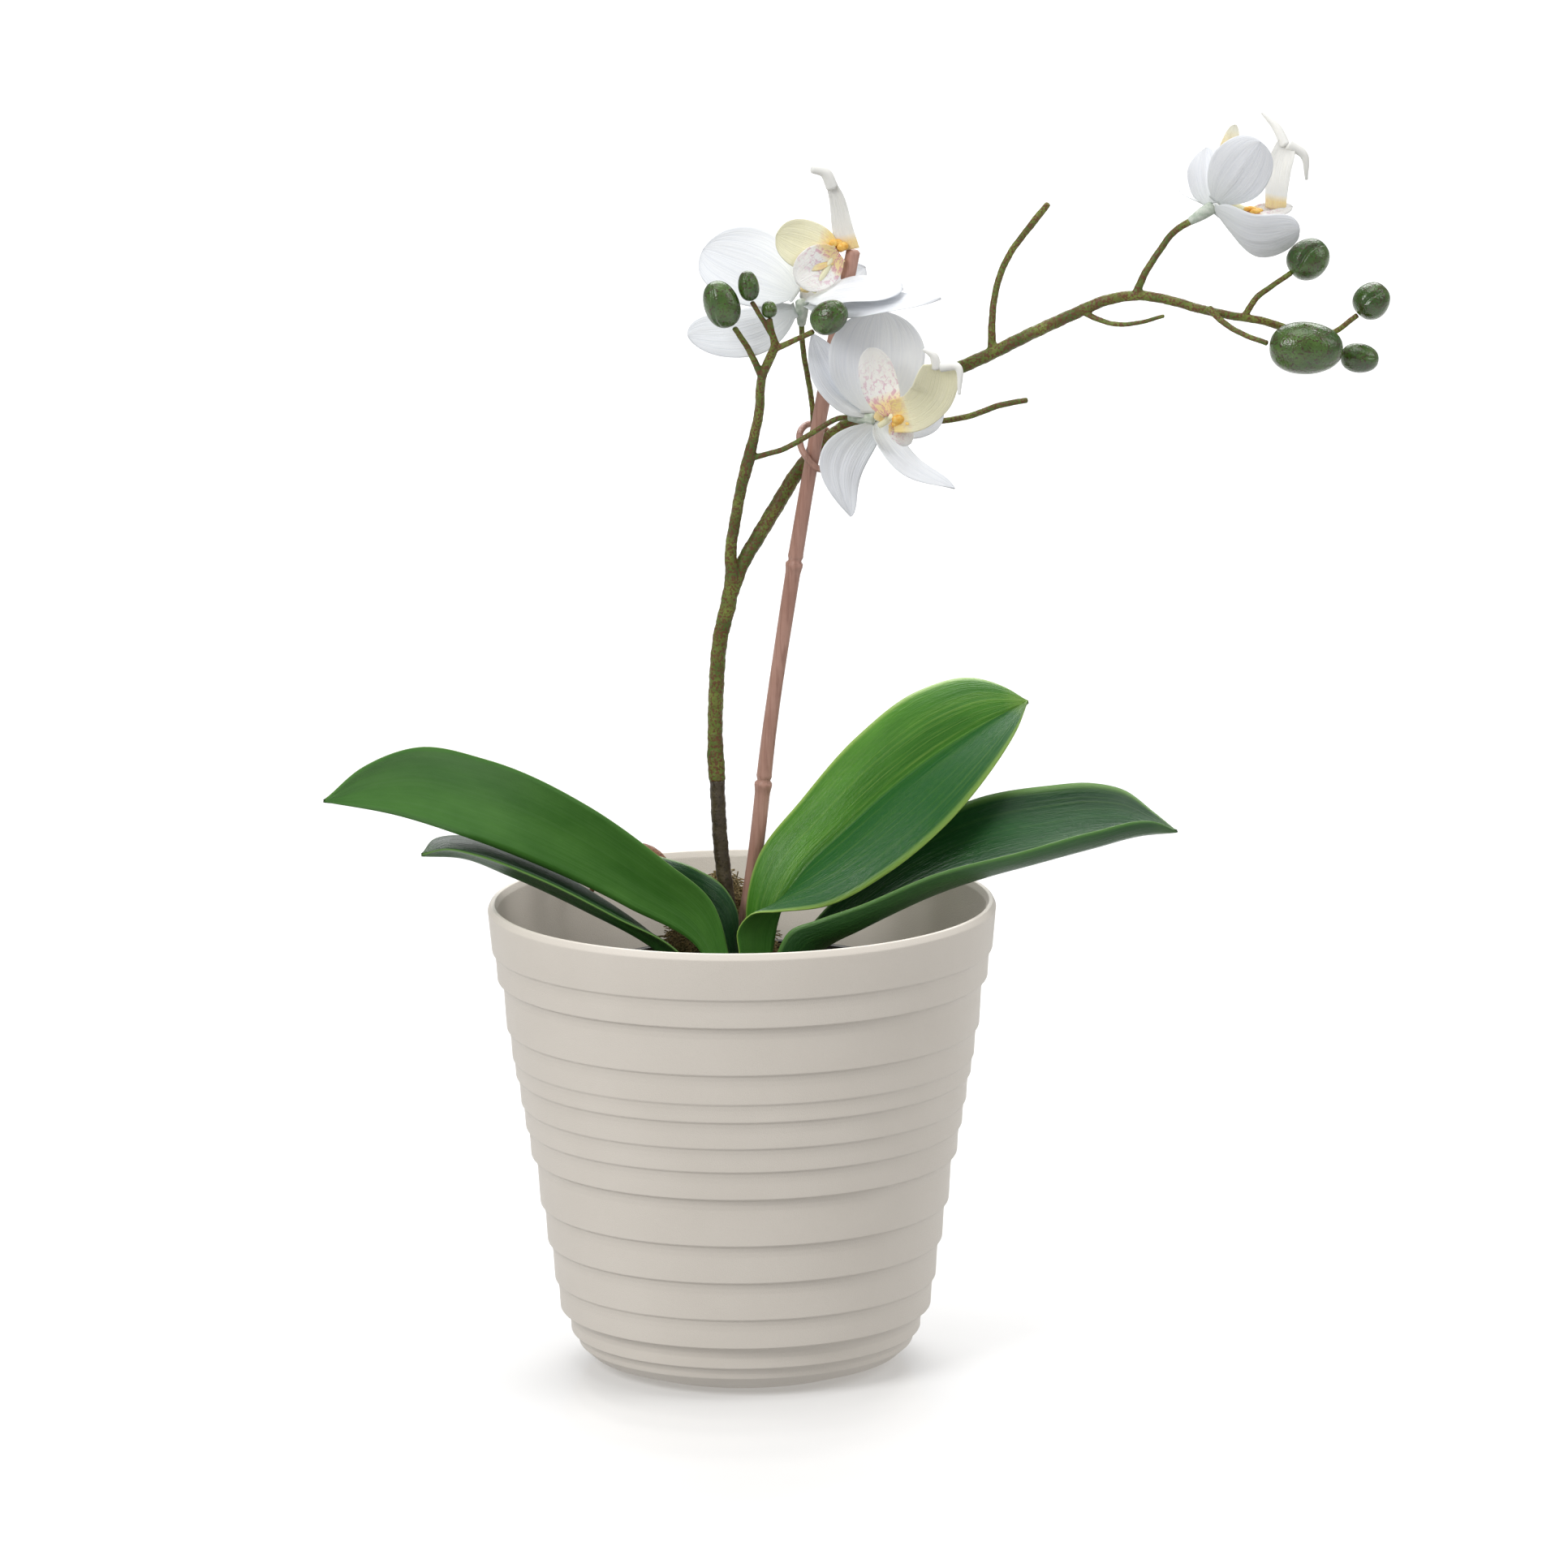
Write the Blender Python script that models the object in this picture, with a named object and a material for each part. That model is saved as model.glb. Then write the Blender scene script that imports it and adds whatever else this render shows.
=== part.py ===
"""Potted orchid: an artificial moth orchid in a nursery pot, standing in a ridged outer pot.

Origin at the centre of the outer pot's flat underside, +Z up, +X to the right seen from
the front, +Y to the back. Sizes and points are written in millimetres and turned into
metres by MM.
"""

import math

import bmesh
import bpy
import numpy as np

MM = 0.001
GAP = 0.3  # clearance between pieces that touch

# Outer pot
POT_HEIGHT = 162.5
POT_RIM_RADIUS = 87.5
POT_FOOT_RADIUS = 42.6
POT_CONE_RADIUS = 60.8  # radius of the band edges, carried down to height 0
POT_CONE_SLOPE = 0.174
POT_BAND_EDGES = (11.5, 19.5, 30, 43.5, 57, 74, 84, 92.5, 102, 108.5, 119, 136, 146)
POT_LEDGE_DROP = 4.3
POT_BAND_SLOPE = 0.06
POT_FLOOR = 4.0
POT_INNER_CONE_RADIUS = 57.4
POT_INNER_SLOPE = 0.166
POT_SEGMENTS = 40

# Nursery pot, potting medium and moss
NURSERY_FLOOR = POT_FLOOR + GAP
NURSERY_RIM_HEIGHT = 136.0
NURSERY_BASE_RADIUS = 42.0
NURSERY_RIM_RADIUS = 58.0
NURSERY_WALL = 1.2
NURSERY_SEGMENTS = 32
MEDIUM_TOP = 130.0
MOSS_CENTRE = (-8.0, 34.0)
MOSS_SIZE = (21.0, 20.0, 17.0)  # half width, half depth to the front, half depth to the back
MOSS_HEIGHT = 36.0
MOSS_LIMIT = 53.4  # the moss is pressed flat against the nursery pot beyond this radius

# Thin pieces
LEAF_THICKNESS = 1.2
PETAL_THICKNESS = 0.6
CALYX_RADIUS = 2.6
CLAW_RADIUS = 3.3  # distance of a petal's base from its flower's centre

COLOURS = {
    "pot_plastic": ((0.69, 0.64, 0.58), 0.6),
    "nursery_plastic": ((0.01, 0.01, 0.01), 0.5),
    "potting_foam": ((0.06, 0.04, 0.025), 0.95),
    "moss": ((0.26, 0.2, 0.09), 0.95),
    "leaf": ((0.05, 0.17, 0.03), 0.4),
    "root": ((0.3, 0.12, 0.06), 0.6),
    "stem": ((0.14, 0.15, 0.05), 0.4),
    "stem_base": ((0.06, 0.045, 0.025), 0.4),
    "cane": ((0.38, 0.2, 0.14), 0.45),
    "bud": ((0.07, 0.16, 0.04), 0.3),
    "petal": ((0.85, 0.86, 0.88), 0.6),
    "lip": ((0.88, 0.83, 0.6), 0.5),
    "calyx": ((0.5, 0.55, 0.48), 0.5),
}

# Leaves: edge, midrib and edge, each from the base to the tip, and how far each half arches
LEAVES = {
    "leaf_1": {
        "rails": (
            ((-3, -6, 131), (-5, -6, 146), (-10, -9, 163), (-26, -15, 179), (-52, -22, 200),
             (-86, -30, 218), (-109, -32, 223), (-128, -30, 216), (-142, -26, 203.5)),
            ((-9, -3, 131), (-14, -4, 145), (-39, -8, 162), (-70, -13, 178.5), (-96, -18, 190),
             (-118, -22, 198), (-142, -26, 203.5)),
            ((-8, 2, 131), (-13, 3, 146), (-38, 11, 166), (-69, 12, 183), (-97, 6, 194),
             (-119, -7, 201), (-142, -26, 203.5)),
        ),
        "arch": (0.1, 0.08),
    },
    "leaf_2": {
        "rails": (
            ((-12, -10, 131), (-22, -14, 147), (-43, -20, 160.5), (-70, -24, 175.5),
             (-90, -22, 183), (-101, -18, 184.5), (-109.5, -12, 181.5)),
            ((-15, -6, 131), (-28, -8, 145.5), (-55, -10, 162), (-80, -12, 174.5),
             (-95, -12, 180.5), (-109.5, -12, 181.5)),
            ((-13, -1, 131), (-26, -1, 146), (-52, 7, 164), (-80, 12, 178),
             (-97, 8, 184), (-105, 1, 184.5), (-109.5, -12, 181.5)),
        ),
        "arch": (0.12, 0.08),
    },
    "leaf_3": {
        "rails": (
            ((2, 2, 131), (2, 3, 144), (1.5, 5, 158), (5.5, 8, 175), (21, 14, 194.5),
             (40.5, 22, 215), (62, 29, 229.5), (80, 33, 233), (92, 32, 229.5), (99.5, 30, 225)),
            ((7, -2, 131), (10, -1, 144), (13, 0, 158), (21, 2, 171), (36, 6, 185),
             (51, 11, 197.5), (66, 16, 208), (82, 22, 217), (99.5, 30, 225)),
            ((0, -9, 131), (-1, -10, 146), (-1.5, -11, 153.5), (3, -12, 159.5), (12, -12.5, 160.5),
             (29, -13, 162.5), (50, -12, 173.5), (70, -7, 189), (86, 3, 206), (95, 15, 217.5),
             (99.5, 30, 225)),
        ),
        "arch": (0.1, 0.1),
    },
    "leaf_4": {
        "rails": (
            ((9, -14, 131.5), (12, -16, 147), (16, -17, 154.5), (26, -19, 159), (40, -20, 164),
             (66, -21, 175), (96, -20, 182.5), (120, -17, 188.5), (141, -12, 191), (149.5, -7, 186.5)),
            ((15, -7, 131.5), (27, -8, 146), (42, -8.5, 154.5), (66, -9, 166.5), (86, -10, 173.5),
             (106, -10, 178.5), (121, -9, 182), (136, -8, 185.5), (149.5, -7, 186.5)),
            ((12, -3, 131.5), (19, 1, 146), (36, 6, 165), (60, 12, 184), (79, 14, 193.5),
             (106, 14, 198.5), (121, 13, 199.5), (131, 10, 198), (142, 1, 191.5), (149.5, -7, 186.5)),
        ),
        "arch": (0.22, 0.1),
    },
    "leaf_5": {
        "rails": (
            ((-6, -0.5, 131), (-8, 0, 146), (-14, 3, 156), (-28, 13, 162), (-46, 24, 166),
             (-63, 44, 171)),
            ((-4, 2, 131), (-5, 2.5, 146), (-9, 6, 156.5), (-22, 19, 162), (-41, 32, 165),
             (-63, 44, 171)),
            ((-2, 5, 131), (-1.5, 6, 145), (-2, 6.5, 158), (-6, 7.5, 165), (-16, 14, 170.5),
             (-26, 26, 171.5), (-42, 40, 172.5), (-63, 44, 171)),
        ),
        "arch": (0.08, 0.08),
    },
}
LEAF_ROWS = 11
LEAF_COLUMNS = 3  # on each side of the midrib

# Stems: each point is x, y, z and the radius there
JOINT_HEIGHT = 202.0
STEM_LOWER = (
    (-2, 14, 70, 2.4), (-3, 13, 110, 2.6), (-4, 12, 148, 2.7), (-7.2, 12, 179, 2.6),
    (-8.1, 12, JOINT_HEIGHT - GAP / 2, 2.6),
)
MAIN_STEM = (
    (-8.1, 12, JOINT_HEIGHT + GAP / 2, 2.9), (-8.5, 12, 209, 3.0), (-8.6, 12, 216, 2.7),
    (-8.3, 12, 231, 2.7), (-6.3, 11.5, 253.5, 2.7), (-3.6, 11, 264, 2.8), (-2.2, 10, 273, 2.6),
    (-2.7, 8.5, 282, 2.1), (-1, 6, 294, 2.0), (1.2, 3, 306, 2.0), (3.8, 0, 316, 2.2),
    (5.6, -2, 323.5, 1.8), (7.4, -5, 332, 1.7), (8.8, -10, 346.5, 1.6), (12.2, -12, 354.5, 1.6),
    (13, -13, 357, 1.5), (12, -13.5, 361.7, 1.1), (11.4, -14, 366.2, 1.0),
)
RIGHT_BRANCH = (
    (-2.5, 10.5, 268, 2.6), (1, 11, 277, 2.5), (7, 12, 287.2, 2.6), (13.7, 13, 298.3, 2.6),
    (20.5, 14.5, 309, 2.5), (29.8, 18, 318.5, 2.4), (39.5, 20, 325.5, 2.4), (53.5, 22, 333.3, 2.3),
    (67.5, 23, 339.5, 2.3), (84, 22.5, 346.5, 2.3), (103.4, 19, 356.6, 2.2), (114.5, 17, 362, 2.1),
    (128, 13, 368, 1.9), (137, 12, 369.2, 1.8), (147.5, 10, 367.8, 1.7), (158.5, 8, 364.9, 1.6),
    (168, 6, 363.1, 1.5), (180.5, 6, 360.7, 1.4), (188, 7.5, 357.8, 1.4), (197, 6, 354.3, 1.3),
)
SIDE_STEMS = {
    "pedicel_1": ((23.5, 15.5, 313, 1.1), (25.9, 13, 323.5, 1.0), (25.6, 11.5, 332.5, 1.0),
                  (24, 9, 343.5, 1.0), (22.8, 7, 351, 1.0), (22.3, 6, 357, 1.0),
                  (22.2, 4, 361.5, 1.0)),
    "pedicel_2": ((3.8, 0, 316, 1.2), (9.2, -2, 317.7, 1.0), (15.6, -5, 320, 1.0),
                  (22.5, -7, 324, 1.0), (28, -8.5, 327.6, 1.0), (34, -9, 331, 1.0),
                  (38, -8.8, 331.6, 1.0)),
    "pedicel_3": ((136, 12, 369, 1.5), (139.3, 12, 376.5, 1.3), (144.2, 13, 384, 1.2),
                  (149.8, 13, 391.2, 1.2), (154.9, 12, 394.6, 1.3)),
    "stalk_1": ((8.4, -10, 346, 1.3), (4, -13, 356, 1.1), (-0.5, -16, 363.5, 1.0)),
    "stalk_2": ((12, -13.5, 361, 1.1), (8.5, -15, 367, 0.9), (5.5, -17, 372.4, 0.9)),
    "stalk_4": ((12.8, -12.5, 355.5, 1.2), (20, -15.5, 359.2, 1.0), (26, -18.8, 362.4, 1.0)),
    "stalk_5": ((173, 6, 362.5, 1.2), (177.4, 5.5, 369.3, 1.1), (182.5, 6, 373, 1.0),
                (188.9, 7, 377.2, 1.0)),
    "stalk_6": ((194, 6, 355, 1.2), (203, 7, 356.5, 1.0), (211.6, 8.3, 362.3, 1.0)),
    "stalk_7": ((161, 6, 365.5, 1.3), (166, 2, 361, 1.1), (172.5, -3, 357.7, 1.0),
                (180.2, -6, 355.2, 1.0)),
    "stalk_8": ((196, 6.2, 355, 1.2), (201, 5, 352, 1.1), (205.4, 3.8, 350, 1.0)),
    "twig_1": ((87.4, 22, 348.5, 1.6), (87.5, 24, 358, 1.3), (88.3, 26, 366, 1.2),
               (90.6, 27, 375, 1.2), (94.5, 27, 383, 1.2), (99, 26, 389.2, 1.2),
               (102.3, 25, 393.6, 1.3), (106.8, 24, 399.3, 1.1)),
    "twig_2": ((117, 16, 364, 1.2), (123.4, 13, 361, 1.0), (130, 9, 359.8, 0.9),
               (136.7, 6, 360.7, 0.8), (145.5, 3, 363.5, 0.7)),
    "twig_3": ((40, 20, 326, 1.3), (48, 20, 324.4, 1.2), (64, 18, 325, 1.1), (80, 14, 328, 1.1),
               (89.5, 12, 331.7, 1.1), (99, 10, 333.8, 1.0)),
}
STEM_SIDES = 8
SIDE_STEM_SIDES = 6

# Cane and its tie
CANE = (
    (-10, 21, 60, 2.6), (-2, 18, 130, 2.6), (5.3, 15.5, 178.5, 2.6), (10.1, 13.4, 219, 2.5),
    (17.1, 10.8, 265, 2.5), (23.8, 8.3, 305, 2.5), (29, 6.5, 333, 2.5), (40, 4.5, 386.2, 2.5),
)
CANE_SIDES = 8
TIE = ((27.5, 3.2, 311.8), (22.3, 4.6, 317.5), (21.2, 9.5, 322.5), (24.5, 17, 325),
       (28.8, 21.3, 323), (33, 22.6, 319.8), (34.6, 17.5, 315.8), (32.5, 9, 312))
TIE_RADIUS = 1.15

AERIAL_ROOT = (
    (-18, 38, MEDIUM_TOP + GAP, 1.6), (-20, 42, 149, 1.7), (-25, 48, 161, 1.8),
    (-32, 51, 169, 1.8), (-40, 52, 170, 1.6), (-49, 50, 163.5, 1.3), (-53, 48, 155, 0.9),
)

# Buds: centre, direction from stalk to tip, length, width
BUDS = {
    "bud_1": ((-4.9, -18, 372), (-0.34, -0.1, 0.94), 16.5, 12.0),
    "bud_2": ((4.3, -18.2, 378.2), (-0.15, -0.1, 1.0), 10.4, 7.0),
    "bud_3": ((11.2, -14.2, 369.5), (-0.1, -0.05, 1.0), 5.8, 5.3),
    "bud_4": ((31.5, -21.5, 367.8), (0.8, -0.3, 0.55), 13.4, 11.2),
    "bud_5": ((194.9, 8, 381.9), (0.75, 0.1, 0.6), 15.0, 13.6),
    "bud_6": ((216.6, 9, 367.2), (0.7, 0.1, 0.7), 13.0, 12.3),
    "bud_7": ((193.4, -7.5, 353.6), (1.0, -0.05, -0.03), 25.0, 17.8),
    "bud_8": ((212.2, 2.8, 348.4), (1.0, -0.05, -0.12), 13.0, 10.0),
}
BUD_RINGS = 6
BUD_SIDES = 10

# Flowers. Petals: tip, where the face looks, half width, bow of the length, cup of the width,
# how far the root sits along the flower's facing direction, and sweep of the length sideways.
# Lobes of the lip: root, tip, where the face looks, half width, bow and cup.
FLOWERS = {
    "flower_1": {
        "centre": (22.4, 2, 369.3), "facing": (0.1, -0.4, 0.91),
        "stalk_end": (22.2, 4, 361.5),
        "petals": {
            "petal_left": ((-11.2, 16, 385.6), (-0.2, -0.75, 0.6), 14.5, -1.5, 0.1, 2.6, -2),
            "petal_low": ((-16.3, -7, 359.6), (0.1, -0.8, 0.6), 9.4, 0, 0.08, -2.4, 4.2),
            "sepal_front": ((69.1, -24, 374.4), (0.05, -0.5, 0.85), 7.4, -1.2, 0.1, -0.9, -1),
            "petal_right": ((56.4, -14, 375.9), (0, -0.42, 0.9), 8.8, 0.8, 0.1, 1.2, 0),
            "sepal_back": ((44.2, 30, 376.9), (0.2, -0.85, 0.5), 9.5, 0, 0.1, -0.9, 0),
        },
        "column": ((23.3, 3.2, 373.4), (25.1, 6.6, 382)),
        "callus": (35, 2.4, 388.6), "callus_size": (3.4, 2.4, 2.8),
        "claw": ((26.2, 0.8, 373.2), (30.2, 1.4, 379.6), (34.2, 2.8, 386.8)),
        "lobes": (
            ((34.1, 2.5, 385.5), (14, 0.5, 392.9), (0.1, -0.95, 0.25), 8.6, -2, 0.1),
            ((35.2, 1, 386.3), (20.7, -2, 376.8), (0.3, -0.9, 0.3), 7.6, -2, 0.12),
        ),
        "midlobe": ((38.2, 3.5, 387), (36.1, 4.5, 396.9), (34.2, 4.5, 405.8), (32.3, 4, 410.9)),
        "midlobe_face": (-0.35, -0.9, 0.1), "midlobe_widths": (4.4, 2.4),
        "tendril_radii": (2.1, 1.9, 1.5),
        "tendrils": (((32.9, 4, 408.7), (30.4, 3, 413.8), (26.3, 2, 415.1)),),
    },
    "flower_2": {
        "centre": (46, -10, 331), "facing": (0.42, -0.9, 0.08),
        "stalk_end": (38, -8.8, 331.6),
        "petals": {
            "petal_top": ((48.4, -8, 367.7), (0.25, -0.95, 0.1), 17, -2, 0.1, 0.9, 0),
            "sepal_left": ((25.6, -5, 359.7), (0.6, -0.8, 0.1), 8.8, -1, 0.15, 0.6, 3),
            "sepal_bottom": ((38.2, -22, 299.6), (0.3, -0.9, 0.1), 8.4, -1, 0.1, 0.9, -7.5),
            "sepal_front": ((73.4, -25, 309.3), (0.45, -0.55, 0.7), 6.6, -1, 0.1, -0.9, -5),
            "petal_back": ((70.2, 4, 331.6), (0.3, -0.9, 0.2), 8.6, 0, 0.1, -0.9, 0),
        },
        "column": ((48.2, -13.2, 332), (49.5, -17, 337.5)),
        "callus": (57, -22.5, 331.5), "callus_size": (4.8, 2.6, 3.6),
        "claw": ((48.6, -13.8, 329.5), (50.8, -17.5, 331.5), (52.4, -20.6, 333.4), (56, -21.5, 331.8)),
        "lobes": (
            ((51.7, -20.5, 333.8), (45, -17.5, 356.4), (0.3, -0.95, 0), 6.6, -1.5, 0.15),
            ((52.2, -21, 331.7), (58.7, -20, 324.2), (0.2, -0.9, 0.4), 4.2, 0.5, 0.1),
        ),
        "midlobe": ((52.7, -22, 333.8), (59.8, -25, 335.6), (65.3, -28, 341), (68.3, -31, 352.5)),
        "midlobe_face": (0.3, -0.9, 0.2), "midlobe_widths": (5.5, 9.6),
        "tendril_radii": (1.8, 1.4, 0.5),
        "tendrils": (
            ((67.5, -30.8, 351.7), (66.4, -31.5, 355.9), (63.1, -32, 358)),
            ((69.1, -31, 352), (74.3, -32.5, 352.2), (75.1, -34, 343)),
        ),
    },
    "flower_3": {
        "centre": (162.2, 11.5, 399.2), "facing": (0.62, 0.5, 0.6),
        "stalk_end": (154.9, 12, 394.6),
        "petals": {
            "petal_left": ((160.9, 21, 418.6), (0.45, 0.85, 0.2), 8.8, -1.5, 0.25, -0.9, 0),
            "petal_top": ((178, -2, 423.4), (0.3, 0.85, 0.2), 10.5, -2.5, 0.2, 0.9, 0),
            "petal_low": ((191.2, -3, 393.3), (0.1, 0.75, 0.62), 11, -5, 0.25, -0.9, 4.5),
            "petal_back": ((168, 42, 405), (0.1, -0.35, 0.9), 10, -1, 0.15, -0.9, 4),
            "sepal_low": ((180, 33, 388), (0.5, 0.1, 0.85), 8, -2, 0.2, -0.9, 0),
        },
        "column": ((166.2, 12.6, 402), (171.2, 13.4, 406.8)),
        "callus": (176, 18.8, 397.2), "callus_size": (4.2, 2.4, 1.8),
        "claw": ((164.1, 17, 404), (168, 16.3, 400.9), (174, 18.4, 397.4)),
        "lobes": (
            ((164.1, 17, 404.6), (170.5, 20.5, 426.4), (-0.2, -0.95, 0.1), 3.3, -1, 0.1),
            ((174.6, 17.5, 396.6), (190, 20, 398.1), (0.1, -0.5, 0.85), 3.6, -0.5, 0.1),
        ),
        "midlobe": ((184.1, 19.5, 397.4), (184.9, 23, 404.1), (186.2, 27, 412), (188.8, 30, 419.4)),
        "midlobe_face": (0.2, -0.9, 0.3), "midlobe_widths": (3.6, 4.8),
        "tendril_radii": (1.9, 1.5, 0.5),
        "tendrils": (
            ((188, 29.6, 418.3), (185, 31, 424.3), (180.3, 32, 429)),
            ((189.1, 29.8, 418.3), (194.4, 31, 414.7), (195.6, 32, 405.9)),
        ),
    },
}
PETAL_ROWS = 6
PETAL_COLUMNS = 4


def clear_scene():
    for obj in list(bpy.data.objects):
        bpy.data.objects.remove(obj)


def material(slot):
    found = bpy.data.materials.get(slot)
    if found:
        return found
    colour, roughness = COLOURS[slot]
    made = bpy.data.materials.new(slot)
    made.use_nodes = True
    shader = made.node_tree.nodes["Principled BSDF"]
    shader.inputs["Base Color"].default_value = (*colour, 1.0)
    shader.inputs["Roughness"].default_value = roughness
    shader.inputs["Metallic"].default_value = 0.0
    return made


def add_object(name, mesh, slot, parent=None):
    mesh.shade_smooth()
    mesh.set_sharp_from_angle(angle=math.radians(40))
    obj = bpy.data.objects.new(name, mesh)
    obj.data.materials.append(material(slot))
    obj.parent = parent
    bpy.context.scene.collection.objects.link(obj)
    return obj


def add_mesh(name, points, faces, slot, parent=None):
    """A new object from points in millimetres; doubled points become one, faces turn outwards."""
    shape = bmesh.new()
    corners = [shape.verts.new(np.asarray(point, float) * MM) for point in points]
    for face in faces:
        shape.faces.new([corners[i] for i in face])
    bmesh.ops.remove_doubles(shape, verts=shape.verts, dist=0.00002)
    bmesh.ops.recalc_face_normals(shape, faces=shape.faces)
    mesh = bpy.data.meshes.new(name)
    shape.to_mesh(mesh)
    shape.free()
    return add_object(name, mesh, slot, parent)


def unit(vector):
    vector = np.asarray(vector, float)
    return vector / np.linalg.norm(vector)


def smooth_curve(points, count, closed=False):
    """count points, evenly spaced, on a smooth curve through the given ones."""
    points = np.asarray(points, float)
    if closed:
        points = np.vstack([points[-1:], points, points[:2]])
    steps = np.linalg.norm(np.diff(points[:, :3], axis=0), axis=1)
    along = np.concatenate([[0], np.cumsum(steps)])
    slopes = np.diff(points, axis=0) / steps[:, None]
    tangents = np.empty_like(points)
    tangents[0], tangents[-1] = slopes[0], slopes[-1]
    weight = (steps[:-1] / (steps[:-1] + steps[1:]))[:, None]
    tangents[1:-1] = slopes[:-1] * (1 - weight) + slopes[1:] * weight
    start, end = (along[1], along[-2]) if closed else (0, along[-1])
    where = np.linspace(start, end, count + 1)[:-1] if closed else np.linspace(start, end, count)
    span = np.clip(np.searchsorted(along, where, side="right") - 1, 0, len(steps) - 1)
    t = ((where - along[span]) / steps[span])[:, None]
    size = steps[span][:, None]
    return (
        points[span] * (1 + 2 * t) * (1 - t) ** 2
        + tangents[span] * size * t * (1 - t) ** 2
        + points[span + 1] * t**2 * (3 - 2 * t)
        + tangents[span + 1] * size * t**2 * (t - 1)
    )


def ring_frames(line, closed=False):
    """Two directions across the line at each of its points, turning as little as possible."""
    if closed:
        directions = np.roll(line, -1, axis=0) - np.roll(line, 1, axis=0)
    else:
        directions = np.gradient(line, axis=0)
    directions = np.array([unit(d) for d in directions])
    start = np.cross(directions[0], (0, 1, 0))
    across = unit(start if np.linalg.norm(start) > 0.1 else np.cross(directions[0], (1, 0, 0)))
    frames = []
    for direction in directions:
        across = unit(across - direction * (across @ direction))
        frames.append((across, np.cross(direction, across)))
    return frames


def add_tube(name, path, slot, sides, spacing=6.0, extra=0.0, closed=False, parent=None):
    """A round tube along path, whose points give x, y, z and the radius."""
    path = np.asarray(path, float)
    length = np.linalg.norm(np.diff(path[:, :3], axis=0), axis=1).sum()
    rings = max(3, round(length / spacing) + 1)
    line = smooth_curve(path, rings, closed)
    frames = ring_frames(line[:, :3], closed)
    points, faces = [], []
    for (x, y, z, radius), (across, upward) in zip(line, frames):
        for k in range(sides):
            angle = 2 * math.pi * k / sides
            offset = across * math.cos(angle) + upward * math.sin(angle)
            points.append(np.array((x, y, z)) + offset * (radius + extra))
    for i in range(rings if closed else rings - 1):
        here, there = i * sides, (i + 1) % rings * sides
        for k in range(sides):
            after = (k + 1) % sides
            faces.append((here + k, here + after, there + after, there + k))
    if not closed:
        faces.append(range(sides))
        faces.append(range(len(points) - sides, len(points)))
    return add_mesh(name, points, faces, slot, parent)


def add_lathe(name, profile, slot, segments):
    """A turned solid: profile runs from the axis, round the outside and back to the axis."""
    shape = bmesh.new()
    verts = [shape.verts.new((r * MM, 0, z * MM)) for r, z in profile]
    edges = [shape.edges.new(pair) for pair in zip(verts, verts[1:])]
    bmesh.ops.spin(
        shape, geom=verts + edges, cent=(0, 0, 0), axis=(0, 0, 1),
        angle=2 * math.pi, steps=segments, use_merge=True,
    )
    bmesh.ops.remove_doubles(shape, verts=shape.verts, dist=0.00002)
    bmesh.ops.recalc_face_normals(shape, faces=shape.faces)
    mesh = bpy.data.meshes.new(name)
    shape.to_mesh(mesh)
    shape.free()
    return add_object(name, mesh, slot)


def add_sheet(name, grid, slot, thickness, parent=None):
    """A thin closed solid around a grid of points, thickened evenly to both sides."""
    rows, columns = len(grid), len(grid[0])
    points = [point for row in grid for point in row]
    faces = []
    for i in range(rows - 1):
        for j in range(columns - 1):
            corner = i * columns + j
            faces.append((corner, corner + 1, corner + columns + 1, corner + columns))
    shape = bmesh.new()
    corners = [shape.verts.new(np.asarray(point, float) * MM) for point in points]
    for face in faces:
        shape.faces.new([corners[i] for i in face])
    bmesh.ops.remove_doubles(shape, verts=shape.verts, dist=0.00002)
    mesh = bpy.data.meshes.new(name)
    shape.to_mesh(mesh)
    shape.free()
    obj = add_object(name, mesh, slot, parent)
    solidify = obj.modifiers.new("thickness", "SOLIDIFY")
    solidify.thickness = thickness * MM
    solidify.offset = 0.0
    return obj


def hide(cutter):
    cutter.hide_render = True
    cutter.display_type = "WIRE"


def combine(obj, others, operation):
    """Joins the others to obj, or cuts them from it, and keeps them as hidden helpers."""
    for other in others:
        boolean = obj.modifiers.new(other.name, "BOOLEAN")
        boolean.operation = operation
        boolean.solver = "EXACT"
        boolean.object = other
        hide(other)


def band_radius(height):
    return POT_CONE_RADIUS + POT_CONE_SLOPE * height


def outer_pot_profile():
    """Axis of the underside, foot, thirteen stepped bands, rim, inner wall and floor."""
    profile = [(0, 0), (POT_FOOT_RADIUS, 0), (53.8, 3.7), (57.8, 7.2)]
    profile.append((60.5, POT_BAND_EDGES[0]))
    for lower, upper in zip(POT_BAND_EDGES, POT_BAND_EDGES[1:]):
        ledge = upper - POT_LEDGE_DROP
        start = 60.5 if lower == POT_BAND_EDGES[0] else band_radius(lower)
        profile.append((start + POT_BAND_SLOPE * (ledge - lower), ledge))
        profile.append((band_radius(upper), upper))
    profile += [(POT_RIM_RADIUS, POT_HEIGHT - 2.5), (POT_RIM_RADIUS - 1.0, POT_HEIGHT - 0.4)]
    profile += [(POT_RIM_RADIUS - 2.4, POT_HEIGHT - 0.4), (POT_RIM_RADIUS - 3.5, POT_HEIGHT - 2.5)]
    profile.append((POT_INNER_CONE_RADIUS + POT_INNER_SLOPE * 14, 14))
    profile += [(56, 7), (52, POT_FLOOR), (0, POT_FLOOR)]
    return profile


def nursery_radius(height):
    share = (height - NURSERY_FLOOR) / (NURSERY_RIM_HEIGHT - NURSERY_FLOOR)
    return NURSERY_BASE_RADIUS + (NURSERY_RIM_RADIUS - 2 - NURSERY_BASE_RADIUS) * share


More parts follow.
